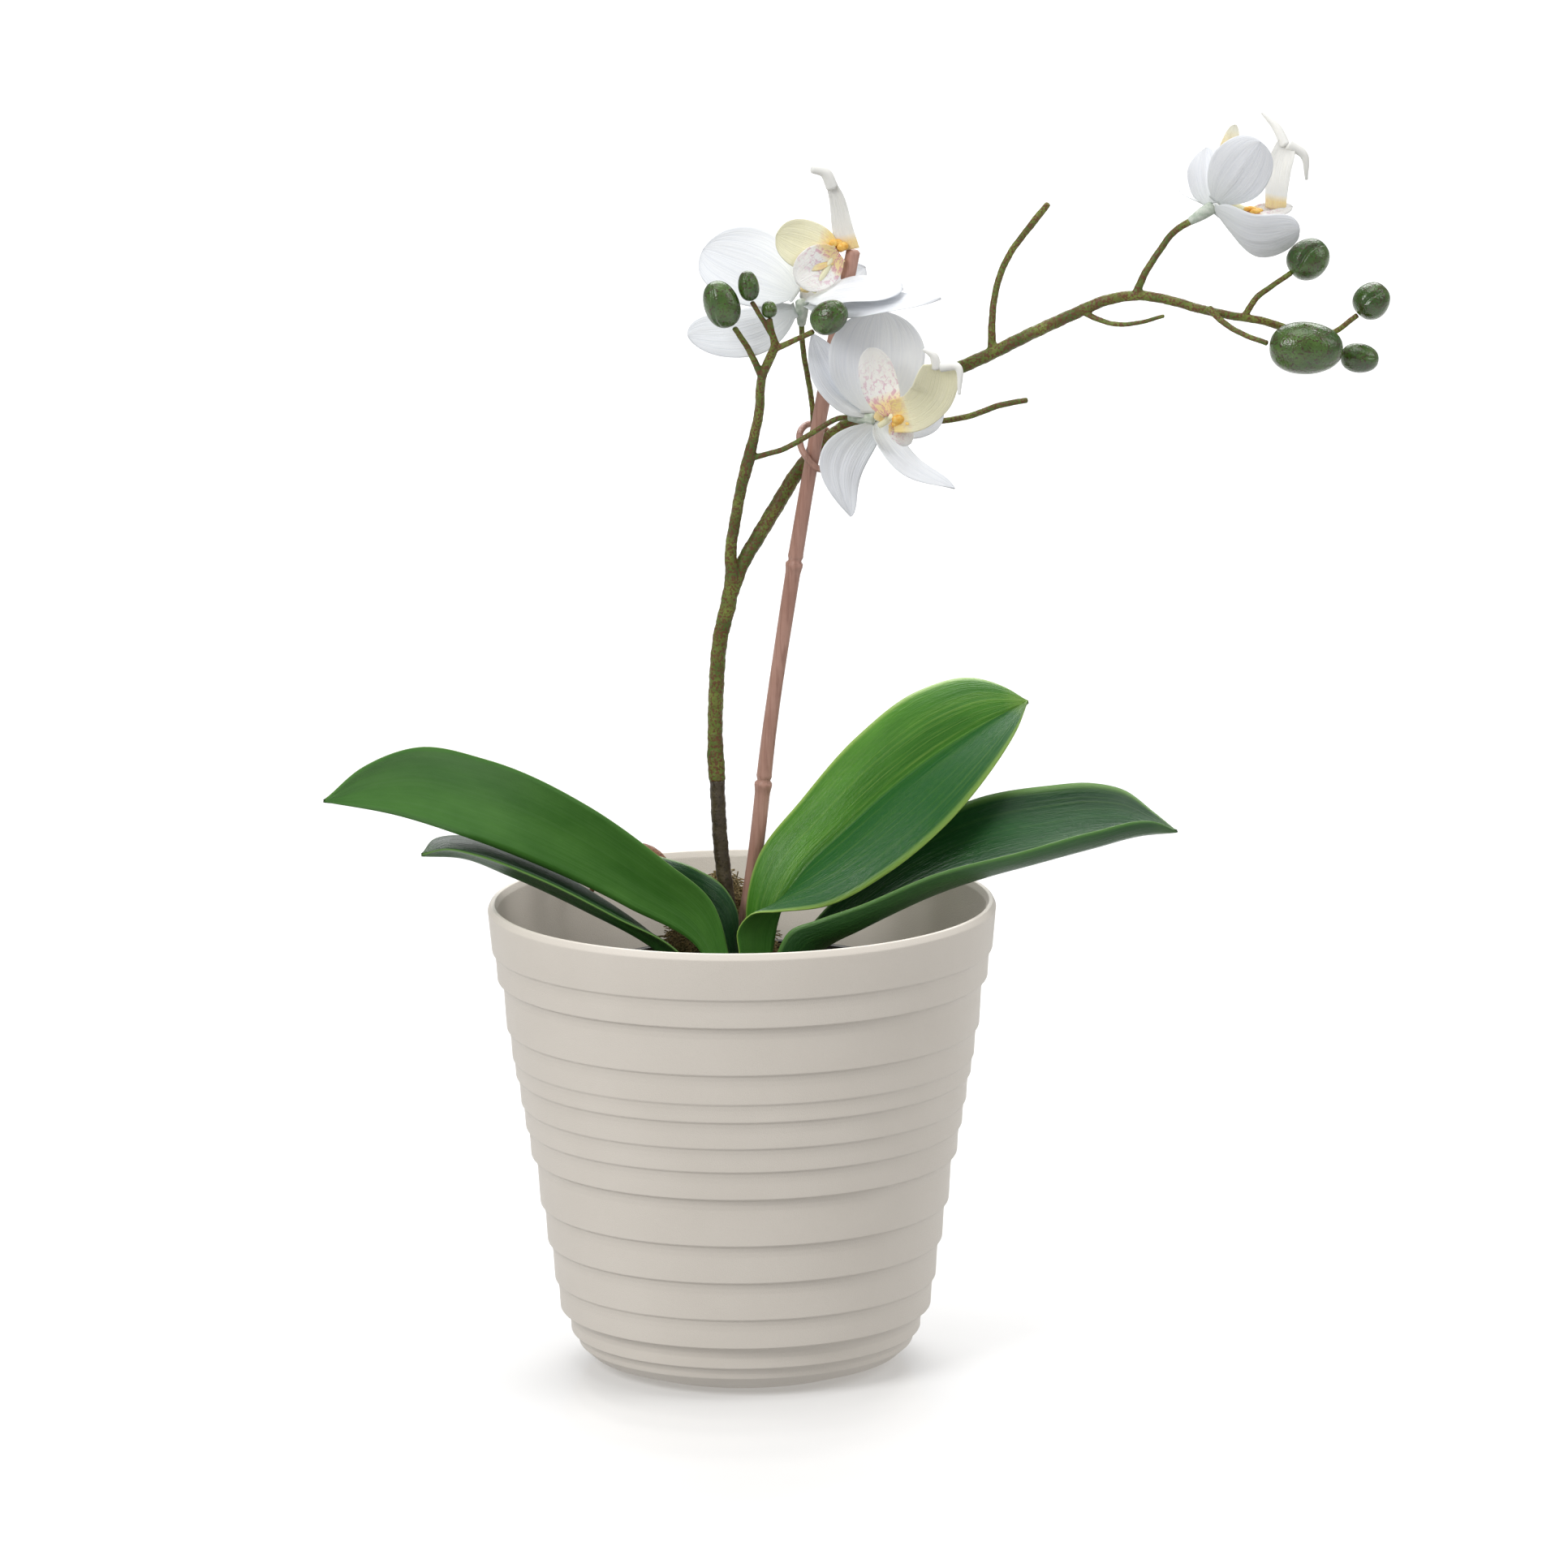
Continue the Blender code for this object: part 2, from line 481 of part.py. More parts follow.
def nursery_pot_profile():
    top, lip = NURSERY_RIM_HEIGHT, NURSERY_RIM_HEIGHT - 7
    inside = NURSERY_FLOOR + NURSERY_WALL
    return [
        (0, NURSERY_FLOOR), (NURSERY_BASE_RADIUS - 2, NURSERY_FLOOR),
        (NURSERY_BASE_RADIUS, NURSERY_FLOOR + 2), (nursery_radius(lip), lip),
        (NURSERY_RIM_RADIUS - 0.4, lip), (NURSERY_RIM_RADIUS, top - 0.6),
        (NURSERY_RIM_RADIUS - 0.6, top), (nursery_radius(top) - NURSERY_WALL, top),
        (nursery_radius(inside) - NURSERY_WALL, inside), (0, inside),
    ]


def medium_profile():
    low = NURSERY_FLOOR + NURSERY_WALL + GAP
    room = NURSERY_WALL + GAP
    return [
        (0, low), (nursery_radius(low) - room, low),
        (nursery_radius(MEDIUM_TOP - 2) - room, MEDIUM_TOP - 2),
        (nursery_radius(MEDIUM_TOP) - room - 3, MEDIUM_TOP), (0, MEDIUM_TOP),
    ]


def add_moss():
    """A low mound with an uneven surface on the flat top of the potting medium."""
    half_width, front, back = MOSS_SIZE
    rings, sides = 6, 20
    points, faces = [], []
    for i in range(rings):
        share = math.sin(math.pi / 2 * (1 - i / rings))
        for k in range(sides):
            angle = 2 * math.pi * k / sides
            depth = back if math.sin(angle) > 0 else front
            bump = 1 + 0.05 * math.sin(5 * angle + 1.7 * i) + 0.03 * math.cos(9 * angle - i)
            bump = bump if i else 1.0
            x = MOSS_CENTRE[0] + half_width * share * bump * math.cos(angle)
            y = MOSS_CENTRE[1] + depth * share * bump * math.sin(angle)
            held = min(1.0, MOSS_LIMIT / math.hypot(x, y))
            points.append((x * held, y * held, MEDIUM_TOP + GAP + MOSS_HEIGHT * (1 - share**1.6)))
    for i in range(rings - 1):
        for k in range(sides):
            after = (k + 1) % sides
            here, there = i * sides, (i + 1) * sides
            faces.append((here + k, here + after, there + after, there + k))
    top = len(points)
    points.append((*MOSS_CENTRE, MEDIUM_TOP + GAP + MOSS_HEIGHT))
    last = (rings - 1) * sides
    faces += [(last + k, last + (k + 1) % sides, top) for k in range(sides)]
    faces.append(range(sides))
    return add_mesh("moss", points, faces, "moss")


def leaf_grid(rails, arch):
    """Rows from base to tip; each half of a row arches above the line from midrib to edge."""
    first, middle, last = (smooth_curve(rail, LEAF_ROWS) for rail in rails)
    grid = []
    for i in range(LEAF_ROWS):
        along = unit(middle[min(i + 1, LEAF_ROWS - 1)] - middle[max(i - 1, 0)])
        row = []
        for edge, share, turn in ((first[i], arch[0], -1), (last[i], arch[1], 1)):
            reach = edge - middle[i]
            size = np.linalg.norm(reach)
            lift = np.cross(reach / max(size, 1e-6), along) * turn
            half = []
            for j in range(LEAF_COLUMNS + 1):
                t = j / LEAF_COLUMNS
                half.append(middle[i] + reach * t + lift * size * share * 4 * t * (1 - t))
            row.append(half)
        grid.append(row[0][:0:-1] + row[1])
    return grid


def blade_outline(u, rise, roundness, claw):
    """Half width at share u of the length, over the widest: claw, widening blade, then the end."""
    top = rise / (rise + roundness)
    widest = top**rise * (1 - top) ** roundness
    return max(u**rise * (1 - u) ** roundness / widest, claw * (1 - u))


def petal_outline(u):
    return blade_outline(u, 0.6, 0.5, 0.3)


def sepal_outline(u):
    return blade_outline(u, 0.5, 0.75, 0.3)


def lobe_outline(u):
    return blade_outline(u, 0.45, 0.45, 0.45)


def petal_grid(root, tip, face, half_width, bow, cup, sweep, outline, rows=PETAL_ROWS):
    """Rows from root to tip; outline gives the half width's share at each share of the length."""
    root, tip = np.asarray(root, float), np.asarray(tip, float)
    along = unit(tip - root)
    side = unit(np.cross(face, along))
    front = np.cross(along, side)
    grid = []
    for i in range(rows + 1):
        u = math.sin(math.pi / 2 * i / rows)
        half = half_width * outline(u)
        bend = math.sin(math.pi * u)
        middle = root + (tip - root) * u + (front * bow + side * sweep) * bend
        row = []
        for j in range(PETAL_COLUMNS + 1):
            v = 2 * j / PETAL_COLUMNS - 1
            row.append(middle + side * half * v + front * cup * half * v * v)
        grid.append(row)
    return grid


def midlobe_grid(line, face, widths, rows=5, columns=3):
    """The lip's middle lobe, from its half width at the root to the one near the tip."""
    middle = smooth_curve(line, rows + 1)
    directions = np.gradient(middle, axis=0)
    grid = []
    for i, point in enumerate(middle):
        u = i / rows
        side = unit(np.cross(face, directions[i]))
        half = (widths[0] * (1 - u) + widths[1] * u) * (1 - 0.4 * u**6)
        row = [point + side * half * (2 * j / columns - 1) for j in range(columns + 1)]
        grid.append(row)
    return grid


def add_ball(name, centre, size, slot, parent=None):
    rings, sides = 6, 8
    points = [np.array(centre) + (0, 0, size[2])]
    for i in range(1, rings):
        polar = math.pi * i / rings
        for k in range(sides):
            angle = 2 * math.pi * k / sides
            offset = (
                size[0] * math.sin(polar) * math.cos(angle),
                size[1] * math.sin(polar) * math.sin(angle),
                size[2] * math.cos(polar),
            )
            points.append(np.array(centre) + offset)
    points.append(np.array(centre) - (0, 0, size[2]))
    faces = []
    for k in range(sides):
        after = (k + 1) % sides
        faces.append((0, 1 + k, 1 + after))
        for i in range(rings - 2):
            here, there = 1 + i * sides, 1 + (i + 1) * sides
            faces.append((here + k, there + k, there + after, here + after))
        last = 1 + (rings - 2) * sides
        faces.append((len(points) - 1, last + after, last + k))
    return add_mesh(name, points, faces, slot, parent)


def add_bud(name, centre, direction, length, width, parent):
    """An egg with a shallow crease from its stalk to its tip."""
    direction = unit(direction)
    across = unit(np.cross(direction, (0, 1, 0)))
    upward = np.cross(across, direction)
    points = [np.array(centre) - direction * length / 2]
    for i in range(1, BUD_RINGS):
        polar = math.pi * i / BUD_RINGS
        radius = width / 2 * math.sin(polar) ** 0.85 * (1 + 0.06 * math.cos(polar))
        middle = np.array(centre) - direction * length / 2 * math.cos(polar)
        for k in range(BUD_SIDES):
            angle = 2 * math.pi * k / BUD_SIDES
            crease = 0.9 if k == 0 else 1.0
            offset = across * math.cos(angle) + upward * math.sin(angle)
            points.append(middle + offset * radius * crease)
    points.append(np.array(centre) + direction * length / 2)
    faces = []
    for k in range(BUD_SIDES):
        after = (k + 1) % BUD_SIDES
        faces.append((0, 1 + k, 1 + after))
        for i in range(BUD_RINGS - 2):
            here, there = 1 + i * BUD_SIDES, 1 + (i + 1) * BUD_SIDES
            faces.append((here + k, there + k, there + after, here + after))
        last = 1 + (BUD_RINGS - 2) * BUD_SIDES
        faces.append((len(points) - 1, last + after, last + k))
    return add_mesh(name, points, faces, "bud", parent)


def add_lip(name, flower, parent):
    """The lip is one moulding: callus, claw, two side lobes, middle lobe and its tendrils."""
    lip = add_ball(name, flower["callus"], flower["callus_size"], "lip", parent)
    parts = []
    claw = [(*point, 1.1) for point in flower["claw"]]
    parts.append(add_tube(name + "_claw", claw, "lip", 6, spacing=3, parent=parent))
    for k, (root, tip, face, half_width, bow, cup) in enumerate(flower["lobes"]):
        grid = petal_grid(root, tip, face, half_width, bow, cup, 0.0, lobe_outline, rows=5)
        parts.append(add_sheet(f"{name}_lobe_{k + 1}", grid, "lip", PETAL_THICKNESS, parent))
    grid = midlobe_grid(flower["midlobe"], flower["midlobe_face"], flower["midlobe_widths"])
    parts.append(add_sheet(name + "_midlobe", grid, "lip", PETAL_THICKNESS, parent))
    for k, line in enumerate(flower["tendrils"]):
        path = [(*point, radius) for point, radius in zip(line, flower["tendril_radii"])]
        parts.append(add_tube(f"{name}_tendril_{k + 1}", path, "lip", 5, spacing=2.5, parent=parent))
    combine(lip, parts, "UNION")
    return lip


def add_flower(name, flower, parent):
    centre, facing = np.array(flower["centre"], float), unit(flower["facing"])
    for petal, (tip, face, half_width, bow, cup, layer, sweep) in flower["petals"].items():
        direction = unit(np.array(tip) - centre)
        root = centre + direction * CLAW_RADIUS + facing * layer
        outline = sepal_outline if petal.startswith("sepal") else petal_outline
        grid = petal_grid(root, tip, face, half_width, bow, cup, sweep, outline)
        add_sheet(f"{name}_{petal}", grid, "petal", PETAL_THICKNESS, parent)
    start, end = (np.array(point, float) for point in flower["column"])
    middle = (start + end) / 2
    path = [(*start, 1.9), (*middle, 1.7), (*end, 2.2)]
    add_tube(name + "_column", path, "lip", 8, spacing=4, parent=parent)
    stalk_end = np.array(flower["stalk_end"], float)
    away = unit(centre - stalk_end)
    low, high = stalk_end + away * GAP, centre + facing * 0.3
    path = [(*low, 1.5), (*((low + high) / 2), 2.2), (*high, CALYX_RADIUS - 0.3)]
    add_tube(name + "_calyx", path, "calyx", 8, spacing=3, parent=parent)
    add_lip(name + "_lip", flower, parent)


def add_pots():
    add_lathe("outer_pot", outer_pot_profile(), "pot_plastic", POT_SEGMENTS)
    add_lathe("nursery_pot", nursery_pot_profile(), "nursery_plastic", NURSERY_SEGMENTS)
    medium = add_lathe("potting_medium", medium_profile(), "potting_foam", NURSERY_SEGMENTS)
    moss = add_moss()
    holes = []
    for name, path in (("stem", STEM_LOWER), ("cane", CANE), ("root", AERIAL_ROOT)):
        lowest = np.array(path[0], float) - (0, 0, GAP, 0)
        hole = add_tube(name + "_hole", [lowest, *path[1:]], "moss", STEM_SIDES, extra=GAP)
        holes.append(hole)
    combine(medium, holes[:2], "DIFFERENCE")
    combine(moss, holes, "DIFFERENCE")


def add_leaves(plant):
    for name, leaf in LEAVES.items():
        grid = leaf_grid(leaf["rails"], leaf["arch"])
        add_sheet(name, grid, "leaf", LEAF_THICKNESS, plant)


def add_stems(plant):
    add_tube("stem_lower", STEM_LOWER, "stem_base", STEM_SIDES, parent=plant)
    spike = add_tube("flower_spike", MAIN_STEM, "stem", STEM_SIDES, parent=plant)
    branches = [add_tube("right_branch", RIGHT_BRANCH, "stem", STEM_SIDES, spacing=9, parent=plant)]
    for name, path in SIDE_STEMS.items():
        branches.append(add_tube(name, path, "stem", SIDE_STEM_SIDES, spacing=7, parent=plant))
    combine(spike, branches, "UNION")
    add_tube("cane", CANE, "cane", CANE_SIDES, spacing=20, parent=plant)
    tie = [(*point, TIE_RADIUS) for point in TIE]
    add_tube("cane_tie", tie, "cane", 6, spacing=2.5, closed=True, parent=plant)
    add_tube("aerial_root", AERIAL_ROOT, "root", STEM_SIDES, parent=plant)


def main():
    clear_scene()
    add_pots()
    plant = bpy.data.objects.new("plant", None)
    bpy.context.scene.collection.objects.link(plant)
    add_leaves(plant)
    add_stems(plant)
    for name, (centre, direction, length, width) in BUDS.items():
        add_bud(name, centre, direction, length, width, plant)
    for name, flower in FLOWERS.items():
        add_flower(name, flower, plant)


main()
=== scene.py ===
"""Potted orchid: finer forms, surfaces, light and camera around the fixed frame of its CAD model.

Sizes and points are written in millimetres and turned into metres by MM.
"""

import math

import bmesh
import bpy
import numpy as np
from mathutils import Matrix, Vector


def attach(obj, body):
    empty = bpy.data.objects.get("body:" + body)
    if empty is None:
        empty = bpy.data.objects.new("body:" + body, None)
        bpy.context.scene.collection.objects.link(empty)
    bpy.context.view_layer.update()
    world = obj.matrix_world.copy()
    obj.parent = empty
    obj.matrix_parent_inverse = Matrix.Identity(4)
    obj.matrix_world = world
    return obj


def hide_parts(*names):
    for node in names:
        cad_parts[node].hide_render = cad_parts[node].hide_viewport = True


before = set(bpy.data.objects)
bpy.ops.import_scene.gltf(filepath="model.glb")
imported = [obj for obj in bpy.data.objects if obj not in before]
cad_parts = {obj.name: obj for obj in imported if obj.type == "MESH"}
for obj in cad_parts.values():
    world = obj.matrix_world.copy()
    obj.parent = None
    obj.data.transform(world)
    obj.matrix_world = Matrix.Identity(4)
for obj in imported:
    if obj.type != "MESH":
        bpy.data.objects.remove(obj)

MM = 0.001
GAP = 0.3

# Outer pot
POT_HEIGHT = 162.5
POT_RIM_RADIUS = 87.5
POT_FOOT_RADIUS = 42.6
POT_CONE_RADIUS = 60.8  # radius of the band edges, carried down to height 0
POT_CONE_SLOPE = 0.174
POT_BAND_EDGES = (11.5, 19.5, 30, 43.5, 57, 74, 84, 92.5, 102, 108.5, 119, 136, 146)
POT_LEDGE_DROP = 4.3
POT_BAND_SLOPE = 0.06
POT_FLOOR = 4.0
POT_INNER_CONE_RADIUS = 57.4
POT_INNER_SLOPE = 0.166

# Nursery pot, potting medium and moss
NURSERY_FLOOR = POT_FLOOR + GAP
NURSERY_RIM_HEIGHT = 136.0
NURSERY_BASE_RADIUS = 42.0
NURSERY_RIM_RADIUS = 58.0
NURSERY_WALL = 1.2
MEDIUM_TOP = 130.0
MOSS_CENTRE = (-8.0, 34.0)
MOSS_SIZE = (21.0, 20.0, 17.0)  # half width, half depth to the front, half depth to the back
MOSS_HEIGHT = 36.0
MOSS_LIMIT = 53.4  # the moss is pressed flat against the nursery pot beyond this radius

# Thin pieces
LEAF_THICKNESS = 1.2
PETAL_THICKNESS = 0.48
LIP_THICKNESS = 0.5
PETAL_ROOT = 1.98  # distance of a petal's base from its flower's centre

# Leaves: edge, midrib and edge, each from the base to the tip, then how far each half arches
LEAVES = {
    "leaf_1": (
        ((-3, -6, 131), (-5, -6, 146), (-10, -9, 163), (-26, -15, 179), (-52, -22, 200),
         (-86, -30, 218), (-109, -32, 223), (-128, -30, 216), (-142, -26, 203.5)),
        ((-9, -3, 131), (-14, -4, 145), (-39, -8, 162), (-70, -13, 178.5), (-96, -18, 190),
         (-118, -22, 198), (-142, -26, 203.5)),
        ((-8, 2, 131), (-13, 3, 146), (-38, 11, 166), (-69, 12, 183), (-97, 6, 194),
         (-119, -7, 201), (-142, -26, 203.5)),
        (0.1, 0.08),
    ),
    "leaf_2": (
        ((-12, -10, 131), (-22, -14, 147), (-43, -20, 160.5), (-70, -24, 175.5),
         (-90, -22, 183), (-101, -18, 184.5), (-109.5, -12, 181.5)),
        ((-15, -6, 131), (-28, -8, 145.5), (-55, -10, 162), (-80, -12, 174.5),
         (-95, -12, 180.5), (-109.5, -12, 181.5)),
        ((-13, -1, 131), (-26, -1, 146), (-52, 7, 164), (-80, 12, 178),
         (-97, 8, 184), (-105, 1, 184.5), (-109.5, -12, 181.5)),
        (0.12, 0.08),
    ),
    "leaf_3": (
        ((2, 2, 131), (2, 3, 144), (1.5, 5, 158), (5.5, 8, 175), (21, 14, 194.5),
         (40.5, 22, 215), (62, 29, 229.5), (80, 33, 233), (92, 32, 229.5), (99.5, 30, 225)),
        ((7, -2, 131), (10, -1, 144), (13, 0, 158), (21, 2, 171), (36, 6, 185),
         (51, 11, 197.5), (66, 16, 208), (82, 22, 217), (99.5, 30, 225)),
        ((0, -9, 131), (-1, -10, 146), (-1.5, -11, 153.5), (3, -12, 159.5), (12, -12.5, 160.5),
         (29, -13, 162.5), (50, -12, 173.5), (70, -7, 189), (86, 3, 206), (95, 15, 217.5),
         (99.5, 30, 225)),
        (0.1, 0.1),
    ),
    "leaf_4": (
        ((9, -14, 131.5), (12, -16, 147), (16, -17, 154.5), (26, -19, 159), (40, -20, 164),
         (66, -21, 175), (96, -20, 182.5), (120, -17, 188.5), (141, -12, 191), (149.5, -7, 186.5)),
        ((15, -7, 131.5), (27, -8, 146), (42, -8.5, 154.5), (66, -9, 166.5), (86, -10, 173.5),
         (106, -10, 178.5), (121, -9, 182), (136, -8, 185.5), (149.5, -7, 186.5)),
        ((12, -3, 131.5), (19, 1, 146), (36, 6, 165), (60, 12, 184), (79, 14, 193.5),
         (106, 14, 198.5), (121, 13, 199.5), (131, 10, 198), (142, 1, 191.5), (149.5, -7, 186.5)),
        (0.22, 0.1),
    ),
    "leaf_5": (
        ((-6, -0.5, 131), (-8, 0, 146), (-14, 3, 156), (-28, 13, 162), (-46, 24, 166),
         (-63, 44, 171)),
        ((-4, 2, 131), (-5, 2.5, 146), (-9, 6, 156.5), (-22, 19, 162), (-41, 32, 165),
         (-63, 44, 171)),
        ((-2, 5, 131), (-1.5, 6, 145), (-2, 6.5, 158), (-6, 7.5, 165), (-16, 14, 170.5),
         (-26, 26, 171.5), (-42, 40, 172.5), (-63, 44, 171)),
        (0.08, 0.08),
    ),
}
LEAF_ROWS = 90
LEAF_COLUMNS = 16  # on each side of the midrib

# Stems: each point is x, y, z and the radius there
JOINT_HEIGHT = 202.0
STEM_LOWER = (
    (-2, 14, 70, 2.4), (-3, 13, 110, 2.6), (-4, 12, 148, 2.7), (-7.2, 12, 179, 2.6),
    (-8.1, 12, JOINT_HEIGHT - GAP / 2, 2.6),
)
MAIN_STEM = (
    (-8.1, 12, JOINT_HEIGHT + GAP / 2, 2.9), (-8.5, 12, 209, 3.0), (-8.6, 12, 216, 2.7),
    (-8.3, 12, 231, 2.7), (-6.3, 11.5, 253.5, 2.7), (-3.6, 11, 264, 2.8), (-2.2, 10, 273, 2.6),
    (-2.7, 8.5, 282, 2.1), (-1, 6, 294, 2.0), (1.2, 3, 306, 2.0), (3.8, 0, 316, 2.2),
    (5.6, -2, 323.5, 1.8), (7.4, -5, 332, 1.7), (8.8, -10, 346.5, 1.6), (12.2, -12, 354.5, 1.6),
    (13, -13, 357, 1.5), (12, -13.5, 361.7, 1.1), (11.4, -14, 366.2, 1.0),
)
RIGHT_BRANCH = (
    (-2.5, 10.5, 268, 2.6), (1, 11, 277, 2.5), (7, 12, 287.2, 2.6), (13.7, 13, 298.3, 2.6),
    (20.5, 14.5, 309, 2.5), (29.8, 18, 318.5, 2.4), (39.5, 20, 325.5, 2.4), (53.5, 22, 333.3, 2.3),
    (67.5, 23, 339.5, 2.3), (84, 22.5, 346.5, 2.3), (103.4, 19, 356.6, 2.2), (114.5, 17, 362, 2.1),
    (128, 13, 368, 1.9), (137, 12, 369.2, 1.8), (147.5, 10, 367.8, 1.7), (158.5, 8, 364.9, 1.6),
    (168, 6, 363.1, 1.5), (180.5, 6, 360.7, 1.4), (188, 7.5, 357.8, 1.4), (197, 6, 354.3, 1.3),
)
SIDE_STEMS = {
    "pedicel_1": ((23.5, 15.5, 313, 1.1), (25.9, 13, 323.5, 1.0), (25.6, 11.5, 332.5, 1.0),
                  (24, 9, 343.5, 1.0), (22.8, 7, 351, 1.0), (22.3, 6, 357, 1.0),
                  (22.2, 4, 361.5, 1.0)),
    "pedicel_2": ((3.8, 0, 316, 1.2), (9.2, -2, 317.7, 1.0), (15.6, -5, 320, 1.0),
                  (22.5, -7, 324, 1.0), (28, -8.5, 327.6, 1.0), (34, -9, 331, 1.0),
                  (38, -8.8, 331.6, 1.0)),
    "pedicel_3": ((136, 12, 369, 1.5), (139.3, 12, 376.5, 1.3), (144.2, 13, 384, 1.2),
                  (149.8, 13, 391.2, 1.2), (154.9, 12, 394.6, 1.3)),
    "stalk_1": ((8.4, -10, 346, 1.3), (4, -13, 356, 1.1), (-0.5, -16, 363.5, 1.0)),
    "stalk_2": ((12, -13.5, 361, 1.1), (8.5, -15, 367, 0.9), (5.5, -17, 372.4, 0.9)),
    "stalk_4": ((12.8, -12.5, 355.5, 1.2), (20, -15.5, 359.2, 1.0), (26, -18.8, 362.4, 1.0)),
    "stalk_5": ((173, 6, 362.5, 1.2), (177.4, 5.5, 369.3, 1.1), (182.5, 6, 373, 1.0),
                (188.9, 7, 377.2, 1.0)),
    "stalk_6": ((194, 6, 355, 1.2), (203, 7, 356.5, 1.0), (211.6, 8.3, 362.3, 1.0)),
    "stalk_7": ((161, 6, 365.5, 1.3), (166, 2, 361, 1.1), (172.5, -3, 357.7, 1.0),
                (180.2, -6, 355.2, 1.0)),
    "stalk_8": ((196, 6.2, 355, 1.2), (201, 5, 352, 1.1), (205.4, 3.8, 350, 1.0)),
    "twig_1": ((87.4, 22, 348.5, 1.6), (87.5, 24, 358, 1.3), (88.3, 26, 366, 1.2),
               (90.6, 27, 375, 1.2), (94.5, 27, 383, 1.2), (99, 26, 389.2, 1.2),
               (102.3, 25, 393.6, 1.3), (106.8, 24, 399.3, 1.1)),
    "twig_2": ((117, 16, 364, 1.2), (123.4, 13, 361, 1.0), (130, 9, 359.8, 0.9),
               (136.7, 6, 360.7, 0.8), (145.5, 3, 363.5, 0.7)),
    "twig_3": ((40, 20, 326, 1.3), (48, 20, 324.4, 1.2), (64, 18, 325, 1.1), (80, 14, 328, 1.1),
               (89.5, 12, 331.7, 1.1), (99, 10, 333.8, 1.0)),
}

# Cane and its tie
CANE = (
    (-10, 21, 60, 2.6), (-2, 18, 130, 2.6), (5.3, 15.5, 178.5, 2.6), (10.1, 13.4, 219, 2.5),
    (17.1, 10.8, 265, 2.5), (23.8, 8.3, 305, 2.5), (29, 6.5, 333, 2.5), (40, 4.5, 386.2, 2.5),
)
TIE = ((27.5, 3.2, 311.8), (22.3, 4.6, 317.5), (21.2, 9.5, 322.5), (24.5, 17, 325),
       (28.8, 21.3, 323), (33, 22.6, 319.8), (34.6, 17.5, 315.8), (32.5, 9, 312))
TIE_RADIUS = 1.15

AERIAL_ROOT = (
    (-18, 38, MEDIUM_TOP + GAP, 1.6), (-20, 42, 149, 1.7), (-25, 48, 161, 1.8),
    (-32, 51, 169, 1.8), (-40, 52, 170, 1.6), (-49, 50, 163.5, 1.3), (-53, 48, 155, 0.9),
)

# Buds: centre, direction from stalk to tip, length, width
BUDS = {
    "bud_1": ((-4.9, -18, 372), (-0.34, -0.1, 0.94), 16.5, 12.0),
    "bud_2": ((4.3, -18.2, 378.2), (-0.15, -0.1, 1.0), 10.4, 7.0),
    "bud_3": ((11.2, -14.2, 369.5), (-0.1, -0.05, 1.0), 5.8, 5.3),
    "bud_4": ((31.5, -21.5, 367.8), (0.8, -0.3, 0.55), 13.4, 11.2),
    "bud_5": ((194.9, 8, 381.9), (0.75, 0.1, 0.6), 15.0, 13.6),
    "bud_6": ((216.6, 9, 367.2), (0.7, 0.1, 0.7), 13.0, 12.3),
    "bud_7": ((193.4, -7.5, 353.6), (1.0, -0.05, -0.03), 25.0, 17.8),
    "bud_8": ((212.2, 2.8, 348.4), (1.0, -0.05, -0.12), 13.0, 10.0),
}

